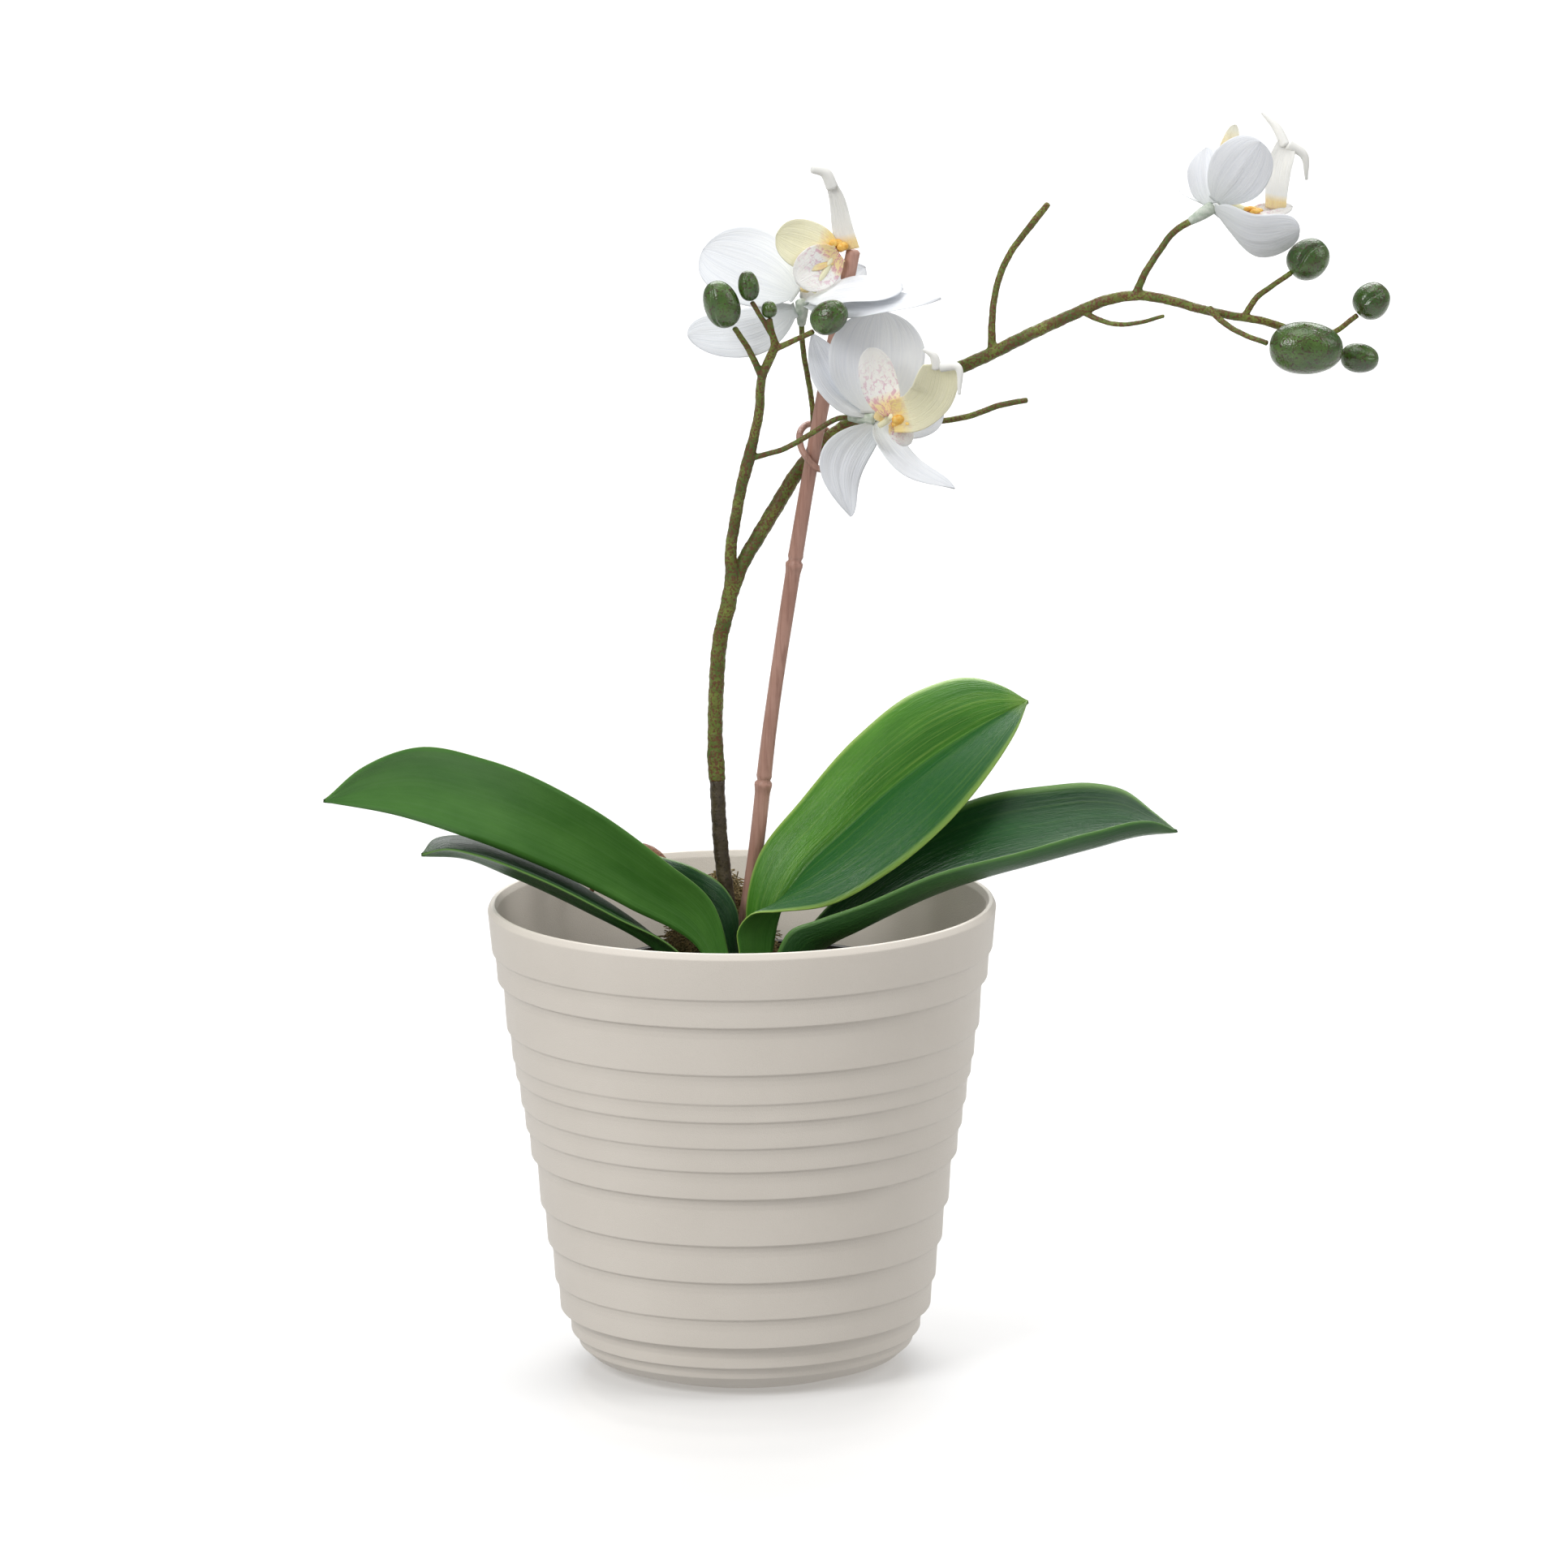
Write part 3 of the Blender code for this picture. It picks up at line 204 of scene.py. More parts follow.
# Flowers. Petals: tip, where the face looks, half width, bow of the length, cup of the width,
# how far the root sits along the flower's facing direction, and sweep of the length sideways.
# Lobes of the lip: root, tip, where the face looks, half width, bow and cup.
FLOWERS = {
    "flower_1": {
        "centre": (22.4, 2, 369.3), "facing": (0.1, -0.4, 0.91),
        "stalk_end": (22.2, 4, 361.5),
        "petals": {
            "petal_left": ((-11.2, 16, 385.6), (-0.2, -0.75, 0.6), 14.5, -1.5, 0.1, 2.6, -2),
            "petal_low": ((-16.3, -7, 359.6), (0.1, -0.8, 0.6), 9.4, 0, 0.08, -2.4, 4.2),
            "sepal_front": ((69.1, -24, 374.4), (0.05, -0.5, 0.85), 7.4, -1.2, 0.1, -0.9, -1),
            "petal_right": ((56.4, -14, 375.9), (0, -0.42, 0.9), 8.8, 0.8, 0.1, 1.2, 0),
            "sepal_back": ((44.2, 30, 376.9), (0.2, -0.85, 0.5), 9.5, 0, 0.1, -0.9, 0),
        },
        "column": ((23.3, 3.2, 373.4), (25.1, 6.6, 382)),
        "callus": (35, 2.4, 388.6), "callus_size": (3.4, 2.4, 2.8),
        "claw": ((26.2, 0.8, 373.2), (30.2, 1.4, 379.6), (34.2, 2.8, 386.8)),
        "lobes": (
            ((34.1, 2.5, 385.5), (14, 0.5, 392.9), (0.1, -0.95, 0.25), 8.6, -2, 0.1),
            ((35.2, 1, 386.3), (20.7, -2, 376.8), (0.3, -0.9, 0.3), 7.6, -2, 0.12),
        ),
        "midlobe": ((38.2, 3.5, 387), (36.1, 4.5, 396.9), (34.2, 4.5, 405.8), (32.3, 4, 410.9)),
        "midlobe_face": (-0.35, -0.9, 0.1), "midlobe_widths": (4.4, 2.4),
        "tendril_radii": (2.1, 1.9, 1.5),
        "tendrils": (((32.9, 4, 408.7), (30.4, 3, 413.8), (26.3, 2, 415.1)),),
    },
    "flower_2": {
        "centre": (46, -10, 331), "facing": (0.42, -0.9, 0.08),
        "stalk_end": (38, -8.8, 331.6),
        "petals": {
            "petal_top": ((48.4, -8, 367.7), (0.25, -0.95, 0.1), 17, -2, 0.1, 0.9, 0),
            "sepal_left": ((25.6, -5, 359.7), (0.6, -0.8, 0.1), 8.8, -1, 0.15, 0.6, 3),
            "sepal_bottom": ((38.2, -22, 299.6), (0.3, -0.9, 0.1), 8.4, -1, 0.1, 0.9, -7.5),
            "sepal_front": ((73.4, -25, 309.3), (0.45, -0.55, 0.7), 6.6, -1, 0.1, -0.9, -5),
            "petal_back": ((70.2, 4, 331.6), (0.3, -0.9, 0.2), 8.6, 0, 0.1, -0.9, 0),
        },
        "column": ((48.2, -13.2, 332), (49.5, -17, 337.5)),
        "callus": (57, -22.5, 331.5), "callus_size": (4.8, 2.6, 3.6),
        "claw": ((48.6, -13.8, 329.5), (50.8, -17.5, 331.5), (52.4, -20.6, 333.4),
                 (56, -21.5, 331.8)),
        "lobes": (
            ((51.7, -20.5, 333.8), (45, -17.5, 356.4), (0.3, -0.95, 0), 6.6, -1.5, 0.15),
            ((52.2, -21, 331.7), (58.7, -20, 324.2), (0.2, -0.9, 0.4), 4.2, 0.5, 0.1),
        ),
        "midlobe": ((52.7, -22, 333.8), (59.8, -25, 335.6), (65.3, -28, 341), (68.3, -31, 352.5)),
        "midlobe_face": (0.3, -0.9, 0.2), "midlobe_widths": (5.5, 9.6),
        "tendril_radii": (1.8, 1.4, 0.5),
        "tendrils": (
            ((67.5, -30.8, 351.7), (66.4, -31.5, 355.9), (63.1, -32, 358)),
            ((69.1, -31, 352), (74.3, -32.5, 352.2), (75.1, -34, 343)),
        ),
    },
    "flower_3": {
        "centre": (162.2, 11.5, 399.2), "facing": (0.62, 0.5, 0.6),
        "stalk_end": (154.9, 12, 394.6),
        "petals": {
            "petal_left": ((160.9, 21, 418.6), (0.45, 0.85, 0.2), 8.8, -1.5, 0.25, -0.9, 0),
            "petal_top": ((178, -2, 423.4), (0.3, 0.85, 0.2), 10.5, -2.5, 0.2, 0.9, 0),
            "petal_low": ((191.2, -3, 393.3), (0.1, 0.75, 0.62), 11, -5, 0.25, -0.9, 4.5),
            "petal_back": ((168, 42, 405), (0.1, -0.35, 0.9), 10, -1, 0.15, -0.9, 4),
            "sepal_low": ((180, 33, 388), (0.5, 0.1, 0.85), 8, -2, 0.2, -0.9, 0),
        },
        "column": ((166.2, 12.6, 402), (171.2, 13.4, 406.8)),
        "callus": (176, 18.8, 397.2), "callus_size": (4.2, 2.4, 1.8),
        "claw": ((164.1, 17, 404), (168, 16.3, 400.9), (174, 18.4, 397.4)),
        "lobes": (
            ((164.1, 17, 404.6), (170.5, 20.5, 426.4), (-0.2, -0.95, 0.1), 3.3, -1, 0.1),
            ((174.6, 17.5, 396.6), (190, 20, 398.1), (0.1, -0.5, 0.85), 3.6, -0.5, 0.1),
        ),
        "midlobe": ((184.1, 19.5, 397.4), (184.9, 23, 404.1), (186.2, 27, 412), (188.8, 30, 419.4)),
        "midlobe_face": (0.2, -0.9, 0.3), "midlobe_widths": (3.6, 4.8),
        "tendril_radii": (1.9, 1.5, 0.5),
        "tendrils": (
            ((188, 29.6, 418.3), (185, 31, 424.3), (180.3, 32, 429)),
            ((189.1, 29.8, 418.3), (194.4, 31, 414.7), (195.6, 32, 405.9)),
        ),
    },
}

# Fineness of the meshes
POT_SIDES = 240
NURSERY_SIDES = 160
MEDIUM_SIDES = 96
MOSS_RINGS = 40
MOSS_SIDES = 120
MOSS_FIBRES = 1600
FIBRE_POINTS = 6
PETAL_ROWS = 48
PETAL_COLUMNS = 32
BUD_RINGS = 36
BUD_SIDES = 72
LUMP_RINGS = 14
LUMP_SIDES = 22
STEM_VOXEL = 0.32

# Fine form that the CAD model leaves out
POT_ROUNDING = 0.35
NURSERY_ROUNDING = 0.5
MEDIUM_ROUNDING = 1.0
COVE_WIDTHS = (0.18, 0.5)  # how far out the cove under a ledge is, lower and upper, of the ledge
COVE_HEIGHT = 0.45  # height of the cove's lower point, of the ledge's drop
LEDGE_LIP = 0.7  # height of the square edge above a cove
FIBRE_RADIUS = 0.22
FIBRE_STEP = 1.3
LEAF_RIB = 0.22
PETAL_RUFFLE = 0.6
LOBE_RUFFLE = 0.4
CANE_NODES = (141.5, 220, 319)  # lengths along the cane of its thicker rings
NODE_SWELL = 0.2
NODE_LENGTH = 2.2
GROOVE_DEPTH = 0.34
GROOVE_LENGTH = 0.7
# Depth of each bud's seams, then each seam's angle and where it starts from the stalk
BUD_SEAMS = {
    "bud_1": (0.12, ((300, 0.5), (200, 0.9), (70, 0.5))),
    "bud_2": (0.14, ((290, 0.3), (170, 0.6), (60, 0.5))),
    "bud_3": (0.08, ((280, 0.8), (160, 0.6), (40, 0.6))),
    "bud_4": (0.1, ((250, 1.0), (330, 1.2), (90, 0.5))),
    "bud_5": (0.24, ((285, 0.6), (170, 0.8), (50, 0.6))),
    "bud_6": (0.14, ((275, 1.0), (160, 0.8), (40, 0.6))),
    "bud_7": (0.04, ((240, 1.2), (330, 1.4), (90, 0.8))),
    "bud_8": (0.05, ((300, 1.0), (180, 0.8), (60, 0.8))),
}
SEAM_WIDTH = 0.11  # radians round the bud
SEAM_SHOULDER = 0.3
COLUMN_RADII = (1.9, 1.7, 2.2)  # foot, middle and head
CALYX_RADII = (1.4, 2.1, 2.3)
CALYX_LIFT = 0.3  # how far the calyx reaches in front of its flower's centre
LIP_CLAW_RADIUS = 1.1
CALLUS_LUMPS = 9
# Looks of a lip, and which one its two side lobes and its middle lobe have
LIP_LOOKS = ("lip_cream", "lip_streaked", "lip_white", "callus", "lip_yellow")
CREAM, STREAKED, WHITE, CALLUS, YELLOW = range(len(LIP_LOOKS))
LOBE_LOOKS = {
    "flower_1": (CREAM, STREAKED, WHITE),
    "flower_2": (STREAKED, STREAKED, CREAM),
    "flower_3": (YELLOW, STREAKED, WHITE),
}

# Studio, in metres, watts and degrees. Lights: place, what it points at, side and power
FLOOR_HALF = 12.0
WORLD_LIGHT = 0.4
PLANT_MIDDLE = (0.03, 0, 0.22)
LIGHTS = {
    "key": ((-1.6, -1.75, 1.75), PLANT_MIDDLE, 1.2, 38.0),
    "fill": ((2.0, -0.6, 1.6), PLANT_MIDDLE, 1.4, 16.0),
    "top": ((0.05, -0.05, 2.5), PLANT_MIDDLE, 1.6, 20.0),
    "back": ((0, 3.2, 2.6), (0, 3.0, 0), 3.0, 150.0),
}
CAMERA_PLACE = (0.01485, -3.22504, 0.85303)
CAMERA_LENS = 220.0
CAMERA_TILT = 78.6
CAMERA_ROLL = -0.5


def unit(vector):
    vector = np.asarray(vector, float)
    return vector / np.linalg.norm(vector)


def smooth_curve(points, count, closed=False):
    """count points, evenly spaced, on a smooth curve through the given ones."""
    points = np.asarray(points, float)
    if closed:
        points = np.vstack([points[-1:], points, points[:2]])
    steps = np.linalg.norm(np.diff(points[:, :3], axis=0), axis=1)
    along = np.concatenate([[0], np.cumsum(steps)])
    slopes = np.diff(points, axis=0) / steps[:, None]
    tangents = np.empty_like(points)
    tangents[0], tangents[-1] = slopes[0], slopes[-1]
    weight = (steps[:-1] / (steps[:-1] + steps[1:]))[:, None]
    tangents[1:-1] = slopes[:-1] * (1 - weight) + slopes[1:] * weight
    start, end = (along[1], along[-2]) if closed else (0, along[-1])
    where = np.linspace(start, end, count + 1)[:-1] if closed else np.linspace(start, end, count)
    span = np.clip(np.searchsorted(along, where, side="right") - 1, 0, len(steps) - 1)
    t = ((where - along[span]) / steps[span])[:, None]
    size = steps[span][:, None]
    return (
        points[span] * (1 + 2 * t) * (1 - t) ** 2
        + tangents[span] * size * t * (1 - t) ** 2
        + points[span + 1] * t**2 * (3 - 2 * t)
        + tangents[span + 1] * size * t**2 * (t - 1)
    )


def ring_frames(line, closed=False):
    """Two directions across the line at each of its points, turning as little as possible."""
    if closed:
        directions = np.roll(line, -1, axis=0) - np.roll(line, 1, axis=0)
    else:
        directions = np.gradient(line, axis=0)
    directions = np.array([unit(d) for d in directions])
    start = np.cross(directions[0], (0, 1, 0))
    across = unit(start if np.linalg.norm(start) > 0.1 else np.cross(directions[0], (1, 0, 0)))
    frames = []
    for direction in directions:
        across = unit(across - direction * (across @ direction))
        frames.append((across, np.cross(direction, across)))
    return frames


def band_radius(height):
    return POT_CONE_RADIUS + POT_CONE_SLOPE * height


def outer_pot_profile():
    """Axis of the underside, foot, thirteen stepped bands, rim, inner wall and floor."""
    profile = [(0, 0), (POT_FOOT_RADIUS, 0), (53.8, 3.7), (57.8, 7.2)]
    profile.append((60.5, POT_BAND_EDGES[0]))
    for lower, upper in zip(POT_BAND_EDGES, POT_BAND_EDGES[1:]):
        ledge = upper - POT_LEDGE_DROP
        start = 60.5 if lower == POT_BAND_EDGES[0] else band_radius(lower)
        profile.append((start + POT_BAND_SLOPE * (ledge - lower), ledge))
        profile.append((band_radius(upper), upper))
    profile += [(POT_RIM_RADIUS, POT_HEIGHT - 2.5), (POT_RIM_RADIUS - 1.0, POT_HEIGHT - 0.4)]
    profile += [(POT_RIM_RADIUS - 2.4, POT_HEIGHT - 0.4), (POT_RIM_RADIUS - 3.5, POT_HEIGHT - 2.5)]
    profile.append((POT_INNER_CONE_RADIUS + POT_INNER_SLOPE * 14, 14))
    profile += [(56, 7), (52, POT_FLOOR), (0, POT_FLOOR)]
    return profile


def nursery_radius(height):
    share = (height - NURSERY_FLOOR) / (NURSERY_RIM_HEIGHT - NURSERY_FLOOR)
    return NURSERY_BASE_RADIUS + (NURSERY_RIM_RADIUS - 2 - NURSERY_BASE_RADIUS) * share


def nursery_pot_profile():
    top, lip = NURSERY_RIM_HEIGHT, NURSERY_RIM_HEIGHT - 7
    inside = NURSERY_FLOOR + NURSERY_WALL
    return [
        (0, NURSERY_FLOOR), (NURSERY_BASE_RADIUS - 2, NURSERY_FLOOR),
        (NURSERY_BASE_RADIUS, NURSERY_FLOOR + 2), (nursery_radius(lip), lip),
        (NURSERY_RIM_RADIUS - 0.4, lip), (NURSERY_RIM_RADIUS, top - 0.6),
        (NURSERY_RIM_RADIUS - 0.6, top), (nursery_radius(top) - NURSERY_WALL, top),
        (nursery_radius(inside) - NURSERY_WALL, inside), (0, inside),
    ]


def medium_profile():
    low = NURSERY_FLOOR + NURSERY_WALL + GAP
    room = NURSERY_WALL + GAP
    return [
        (0, low), (nursery_radius(low) - room, low),
        (nursery_radius(MEDIUM_TOP - 2) - room, MEDIUM_TOP - 2),
        (nursery_radius(MEDIUM_TOP) - room - 3, MEDIUM_TOP), (0, MEDIUM_TOP),
    ]


def blade_outline(u, rise, roundness, claw):
    """Half width at share u of the length, over the widest: claw, widening blade, then the end."""
    top = rise / (rise + roundness)
    widest = top**rise * (1 - top) ** roundness
    return max(u**rise * (1 - u) ** roundness / widest, claw * (1 - u))


def petal_outline(u):
    return blade_outline(u, 0.6, 0.5, 0.3)


def sepal_outline(u):
    return blade_outline(u, 0.5, 0.75, 0.3)


def lobe_outline(u):
    return blade_outline(u, 0.45, 0.45, 0.45)


def undercut(profile):
    """Each ledge of the pot turned in just below its edge, then curving down into its band."""
    out = [profile[0]]
    for (r, z), (next_r, next_z) in zip(profile, profile[1:]):
        step = next_r - r
        if abs(next_z - z - POT_LEDGE_DROP) < 0.01 and step > 0.5:
            out.append((r + COVE_WIDTHS[0] * step, z + COVE_HEIGHT * POT_LEDGE_DROP))
            out.append((r + COVE_WIDTHS[1] * step, next_z - LEDGE_LIP))
        out.append((next_r, next_z))
    return out


def rounded(profile, radius):
    """The profile with each inner corner replaced by a short curve."""
    points = [np.array(point, float) for point in profile]
    out = [points[0]]
    for before, corner, after in zip(points, points[1:], points[2:]):
        first = min(radius, np.linalg.norm(before - corner) * 0.45)
        last = min(radius, np.linalg.norm(after - corner) * 0.45)
        start = corner + unit(before - corner) * first
        end = corner + unit(after - corner) * last
        for t in np.linspace(0, 1, 6):
            out.append(start * (1 - t) ** 2 + corner * 2 * t * (1 - t) + end * t**2)
    out.append(points[-1])
    return out


def new_object(name, points, faces, looks, indices=None, uvs=None):
    """A smooth mesh object from points in millimetres; uvs gives one pair for each point."""
    mesh = bpy.data.meshes.new(name)
    mesh.from_pydata([tuple(np.asarray(point, float) * MM) for point in points], [], faces)
    for each in looks:
        mesh.materials.append(each)
    if indices is not None:
        mesh.polygons.foreach_set("material_index", indices)
    if uvs is not None:
        layer = mesh.uv_layers.new(name="UVMap")
        for loop in mesh.loops:
            layer.data[loop.index].uv = uvs[loop.vertex_index]
    shape = bmesh.new()
    shape.from_mesh(mesh)
    bmesh.ops.remove_doubles(shape, verts=shape.verts, dist=0.000004)
    bmesh.ops.dissolve_degenerate(shape, edges=shape.edges, dist=0.000001)
    bmesh.ops.recalc_face_normals(shape, faces=shape.faces)
    shape.to_mesh(mesh)
    shape.free()
    mesh.shade_smooth()
    obj = bpy.data.objects.new(name, mesh)
    bpy.context.scene.collection.objects.link(obj)
    return obj


def show(obj, node):
    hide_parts(node)
    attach(obj, "root")


def ring_faces(rings, sides, start=0, closed=False):
    """Quads between rings of points, whose first point has the number start."""
    faces = []
    for i in range(rings if closed else rings - 1):
        here, there = start + i * sides, start + (i + 1) % rings * sides
        for k in range(sides):
            after = (k + 1) % sides
            faces.append((here + k, here + after, there + after, there + k))
    return faces


def ball_faces(rings, sides):
    """Faces over one pole, rings of points and the other pole, in that order."""
    faces = ring_faces(rings, sides, 1)
    last = 1 + (rings - 1) * sides
    for k in range(sides):
        after = (k + 1) % sides
        faces.append((0, 1 + after, 1 + k))
        faces.append((last + sides, last + k, last + after))
    return faces


def lathe(name, profile, look, sides):
    points = []
    for r, z in profile:
        for k in range(sides):
            angle = 2 * math.pi * k / sides
            points.append((max(r, 0.001) * math.cos(angle), max(r, 0.001) * math.sin(angle), z))
    return new_object(name, points, ring_faces(len(profile), sides), [look])


def tube_shape(path, sides, spacing, wobble=None, closed=False):
    """Points and faces of a tube; wobble(angle, length) gives the radius's share."""
    path = np.asarray(path, float)
    length = np.linalg.norm(np.diff(path[:, :3], axis=0), axis=1).sum()
    rings = max(4, round(length / spacing) + 1)
    line = smooth_curve(path, rings, closed)
    frames = ring_frames(line[:, :3], closed)
    points = []
    for i, ((x, y, z, radius), (across, upward)) in enumerate(zip(line, frames)):
        for k in range(sides):
            angle = 2 * math.pi * k / sides
            offset = across * math.cos(angle) + upward * math.sin(angle)
            share = wobble(angle, i * length / (rings - 1)) if wobble else 1.0
            points.append(np.array((x, y, z)) + offset * radius * share)
    faces = ring_faces(rings, sides, 0, closed)
    if not closed:
        for ring, turn in ((0, -1), (rings - 1, 1)):
            x, y, z, radius = line[ring]
            end = np.array((x, y, z))
            nose = unit(line[ring, :3] - line[ring - turn, :3]) * radius * 0.35
            inner = len(points)
            for k in range(sides):
                points.append(end + (points[ring * sides + k] - end) * 0.7 + nose * 0.8)
            points.append(end + nose)
            for k in range(sides):
                after = (k + 1) % sides
                faces.append((ring * sides + k, ring * sides + after, inner + after, inner + k))
                faces.append((inner + k, inner + after, inner + sides))
    return points, faces


def tube(name, path, look, sides=20, spacing=1.0, wobble=None, closed=False):
    points, faces = tube_shape(path, sides, spacing, wobble, closed)
    return new_object(name, points, faces, [look])


def sheet_shape(grid, thickness, mirrored=False):
    """A closed sheet, thinner towards its edges: points, faces, sides (0 front, 1 back), uvs."""
    middle = np.array(grid, float)
    rows, columns = middle.shape[:2]
    normal = np.cross(np.gradient(middle, axis=0), np.gradient(middle, axis=1))
    size = np.linalg.norm(normal, axis=2, keepdims=True)
    normal = normal / np.maximum(size, 1e-9)
    normal[-1] = normal[-2]
    normal[0] = normal[1]
    v = np.linspace(-1, 1, columns)
    half = thickness / 2 * (0.3 + 0.7 * np.sqrt(1 - np.abs(v) ** 5))[None, :, None]
    front, back = middle + normal * half, middle - normal * half
    points = np.concatenate([front.reshape(-1, 3), back.reshape(-1, 3)])
    across = np.linspace(1, 0, columns) if mirrored else np.linspace(0, 1, columns)
    uvs = [(across[j], i / (rows - 1)) for i in range(rows) for j in range(columns)] * 2
    count = rows * columns
    faces, sides = [], []
    for i in range(rows - 1):
        for j in range(columns - 1):
            a = i * columns + j
            faces.append((a, a + columns, a + columns + 1, a + 1))
            sides.append(0)
            faces.append((count + a, count + a + 1, count + a + columns + 1, count + a + columns))
            sides.append(1)
    rim = [(i * columns, (i + 1) * columns) for i in range(rows - 1)]
    rim += [((i + 1) * columns - 1, (i + 2) * columns - 1) for i in range(rows - 1)]
    rim += [(j, j + 1) for j in range(columns - 1)]
    rim += [(count - columns + j, count - columns + j + 1) for j in range(columns - 1)]
    for a, b in rim:
        faces.append((a, b, count + b, count + a))
        sides.append(0)
    return list(points), faces, sides, uvs


def join(name, shapes, looks):
    """One object of several shapes; each is points, faces, look numbers, uvs."""
    points, faces, indices, uvs = [], [], [], []
    for shape_points, shape_faces, shape_looks, shape_uvs in shapes:
        start = len(points)
        points += list(shape_points)
        faces += [tuple(start + k for k in face) for face in shape_faces]
        indices += list(shape_looks)
        uvs += list(shape_uvs)
    return new_object(name, points, faces, looks, indices, uvs)


def leaf_grid(rails, arch):
    """Rows from base to tip; each half of a row arches above the line from midrib to edge."""
    first, middle, last = (smooth_curve(rail, LEAF_ROWS) for rail in rails)
    grid = []
    for i in range(LEAF_ROWS):
        along = unit(middle[min(i + 1, LEAF_ROWS - 1)] - middle[max(i - 1, 0)])
        row = []
        for edge, share, turn in ((first[i], arch[0], -1), (last[i], arch[1], 1)):
            reach = edge - middle[i]
            size = np.linalg.norm(reach)
            lift = np.cross(reach / max(size, 1e-6), along) * turn
            half = []
            for j in range(LEAF_COLUMNS + 1):
                t = j / LEAF_COLUMNS
                rib = LEAF_RIB * math.sin(6 * math.pi * t) * t * (1 - t)
                half.append(middle[i] + reach * t + lift * (size * share * 4 * t * (1 - t) + rib))
            row.append(half)
        grid.append(row[0][:0:-1] + row[1])
    return grid


def petal_grid(root, tip, face, half_width, bow, cup, sweep, outline, ruffle, phase):
    root, tip = np.asarray(root, float), np.asarray(tip, float)
    along = unit(tip - root)
    side = unit(np.cross(face, along))
    front = np.cross(along, side)
    grid = []
    for i in range(PETAL_ROWS + 1):
        u = math.sin(math.pi / 2 * i / PETAL_ROWS)
        half = half_width * outline(u)
        bend = math.sin(math.pi * u)
        middle = root + (tip - root) * u + (front * bow + side * sweep) * bend
        row = []
        for j in range(PETAL_COLUMNS + 1):
            v = 2 * j / PETAL_COLUMNS - 1
            wave = ruffle * abs(v) ** 2 * math.sin(9 * u + phase + (1.3 if v > 0 else 0))
            wave += 0.12 * ruffle * bend * math.sin(11 * v + phase)
            crease = -0.35 * ruffle * bend * math.exp(-((v / 0.09) ** 2))
            row.append(middle + side * half * v + front * (cup * half * v * v + wave + crease))
        grid.append(row)
    return grid


def midlobe_grid(line, face, widths, phase):
    middle = smooth_curve(line, PETAL_ROWS + 1)
    directions = np.gradient(middle, axis=0)
    grid = []
    for i, point in enumerate(middle):
        u = i / PETAL_ROWS
        side = unit(np.cross(face, directions[i]))
        front = unit(np.cross(directions[i], side))
        half = (widths[0] * (1 - u) + widths[1] * u) * (1 - 0.4 * u**6)
        row = []
        for j in range(PETAL_COLUMNS + 1):
            v = 2 * j / PETAL_COLUMNS - 1
            wave = 0.4 * v * v * math.sin(7 * u + phase) + 0.7 * (v * v - 0.3)
            row.append(point + side * half * v + front * wave)
        grid.append(row)
    return grid


def lump_shape(centre, size):
    """A ball with a slightly uneven surface."""
    points = [np.array(centre) + (0, 0, size[2])]
    for i in range(1, LUMP_RINGS):
        polar = math.pi * i / LUMP_RINGS
        for k in range(LUMP_SIDES):
            angle = 2 * math.pi * k / LUMP_SIDES
            swell = 1 + 0.06 * math.sin(5 * angle + 3 * polar) * math.sin(6 * polar)
            offset = np.array((
                size[0] * math.sin(polar) * math.cos(angle),
                size[1] * math.sin(polar) * math.sin(angle),
                size[2] * math.cos(polar),
            ))
            points.append(np.array(centre) + offset * swell)
    points.append(np.array(centre) - (0, 0, size[2]))
    return points, ball_faces(LUMP_RINGS - 1, LUMP_SIDES)


def flat(shape, look):
    """A shape with one look and no texture coordinates of its own."""
    points, faces = shape
    return points, faces, [look] * len(faces), [(0.5, 0.5)] * len(points)


# Looks


def feed(tree, socket, value):
    """Links a socket, or gives it a value; colours come without their fourth number."""
    if isinstance(value, bpy.types.NodeSocket):
        tree.links.new(value, socket)
    elif socket.type == "RGBA":
        socket.default_value = (*value, 1)
    else:
        socket.default_value = value


def node(tree, kind, **inputs):
    made = tree.nodes.new(kind)
    for key, value in inputs.items():
        feed(tree, made.inputs[key.replace("_", " ")], value)
    return made


def noise(tree, where, scale, detail=3.0, roughness=0.55, distortion=0.0):
    made = node(tree, "ShaderNodeTexNoise", Vector=where, Scale=scale, Detail=detail,
                Roughness=roughness, Distortion=distortion)
    return made.outputs["Fac"]


def stretched(tree, where, scale):
    return node(tree, "ShaderNodeMapping", Vector=where, Scale=scale).outputs["Vector"]


def strands(tree, uv, across, along, detail=3.0, roughness=0.55, distortion=0.0):
    """Noise stretched by its two scales over a sheet."""
    return noise(tree, stretched(tree, uv, (across, along, 1)), 1.0, detail, roughness, distortion)


def ramp(tree, factor, *stops):
    """Colours (or grey levels) at positions of the factor."""
    made = node(tree, "ShaderNodeValToRGB", Fac=factor)
    elements = made.color_ramp.elements
    while len(elements) < len(stops):
        elements.new(0.5)
    for element, (position, colour) in zip(elements, stops):
        element.position = position
        element.color = (*colour, 1) if isinstance(colour, tuple) else (colour,) * 3 + (1,)
    return made.outputs["Color"]


def blend(tree, factor, a, b):
    made = tree.nodes.new("ShaderNodeMix")
    made.data_type = "RGBA"
    for number, value in ((0, factor), (6, a), (7, b)):
        feed(tree, made.inputs[number], value)
    return made.outputs[2]


def combine_values(tree, kind, a, b):
    made = tree.nodes.new("ShaderNodeMath")
    made.operation = kind
    feed(tree, made.inputs[0], a)
    feed(tree, made.inputs[1], b)
    return made.outputs["Value"]


LOOKS = {}


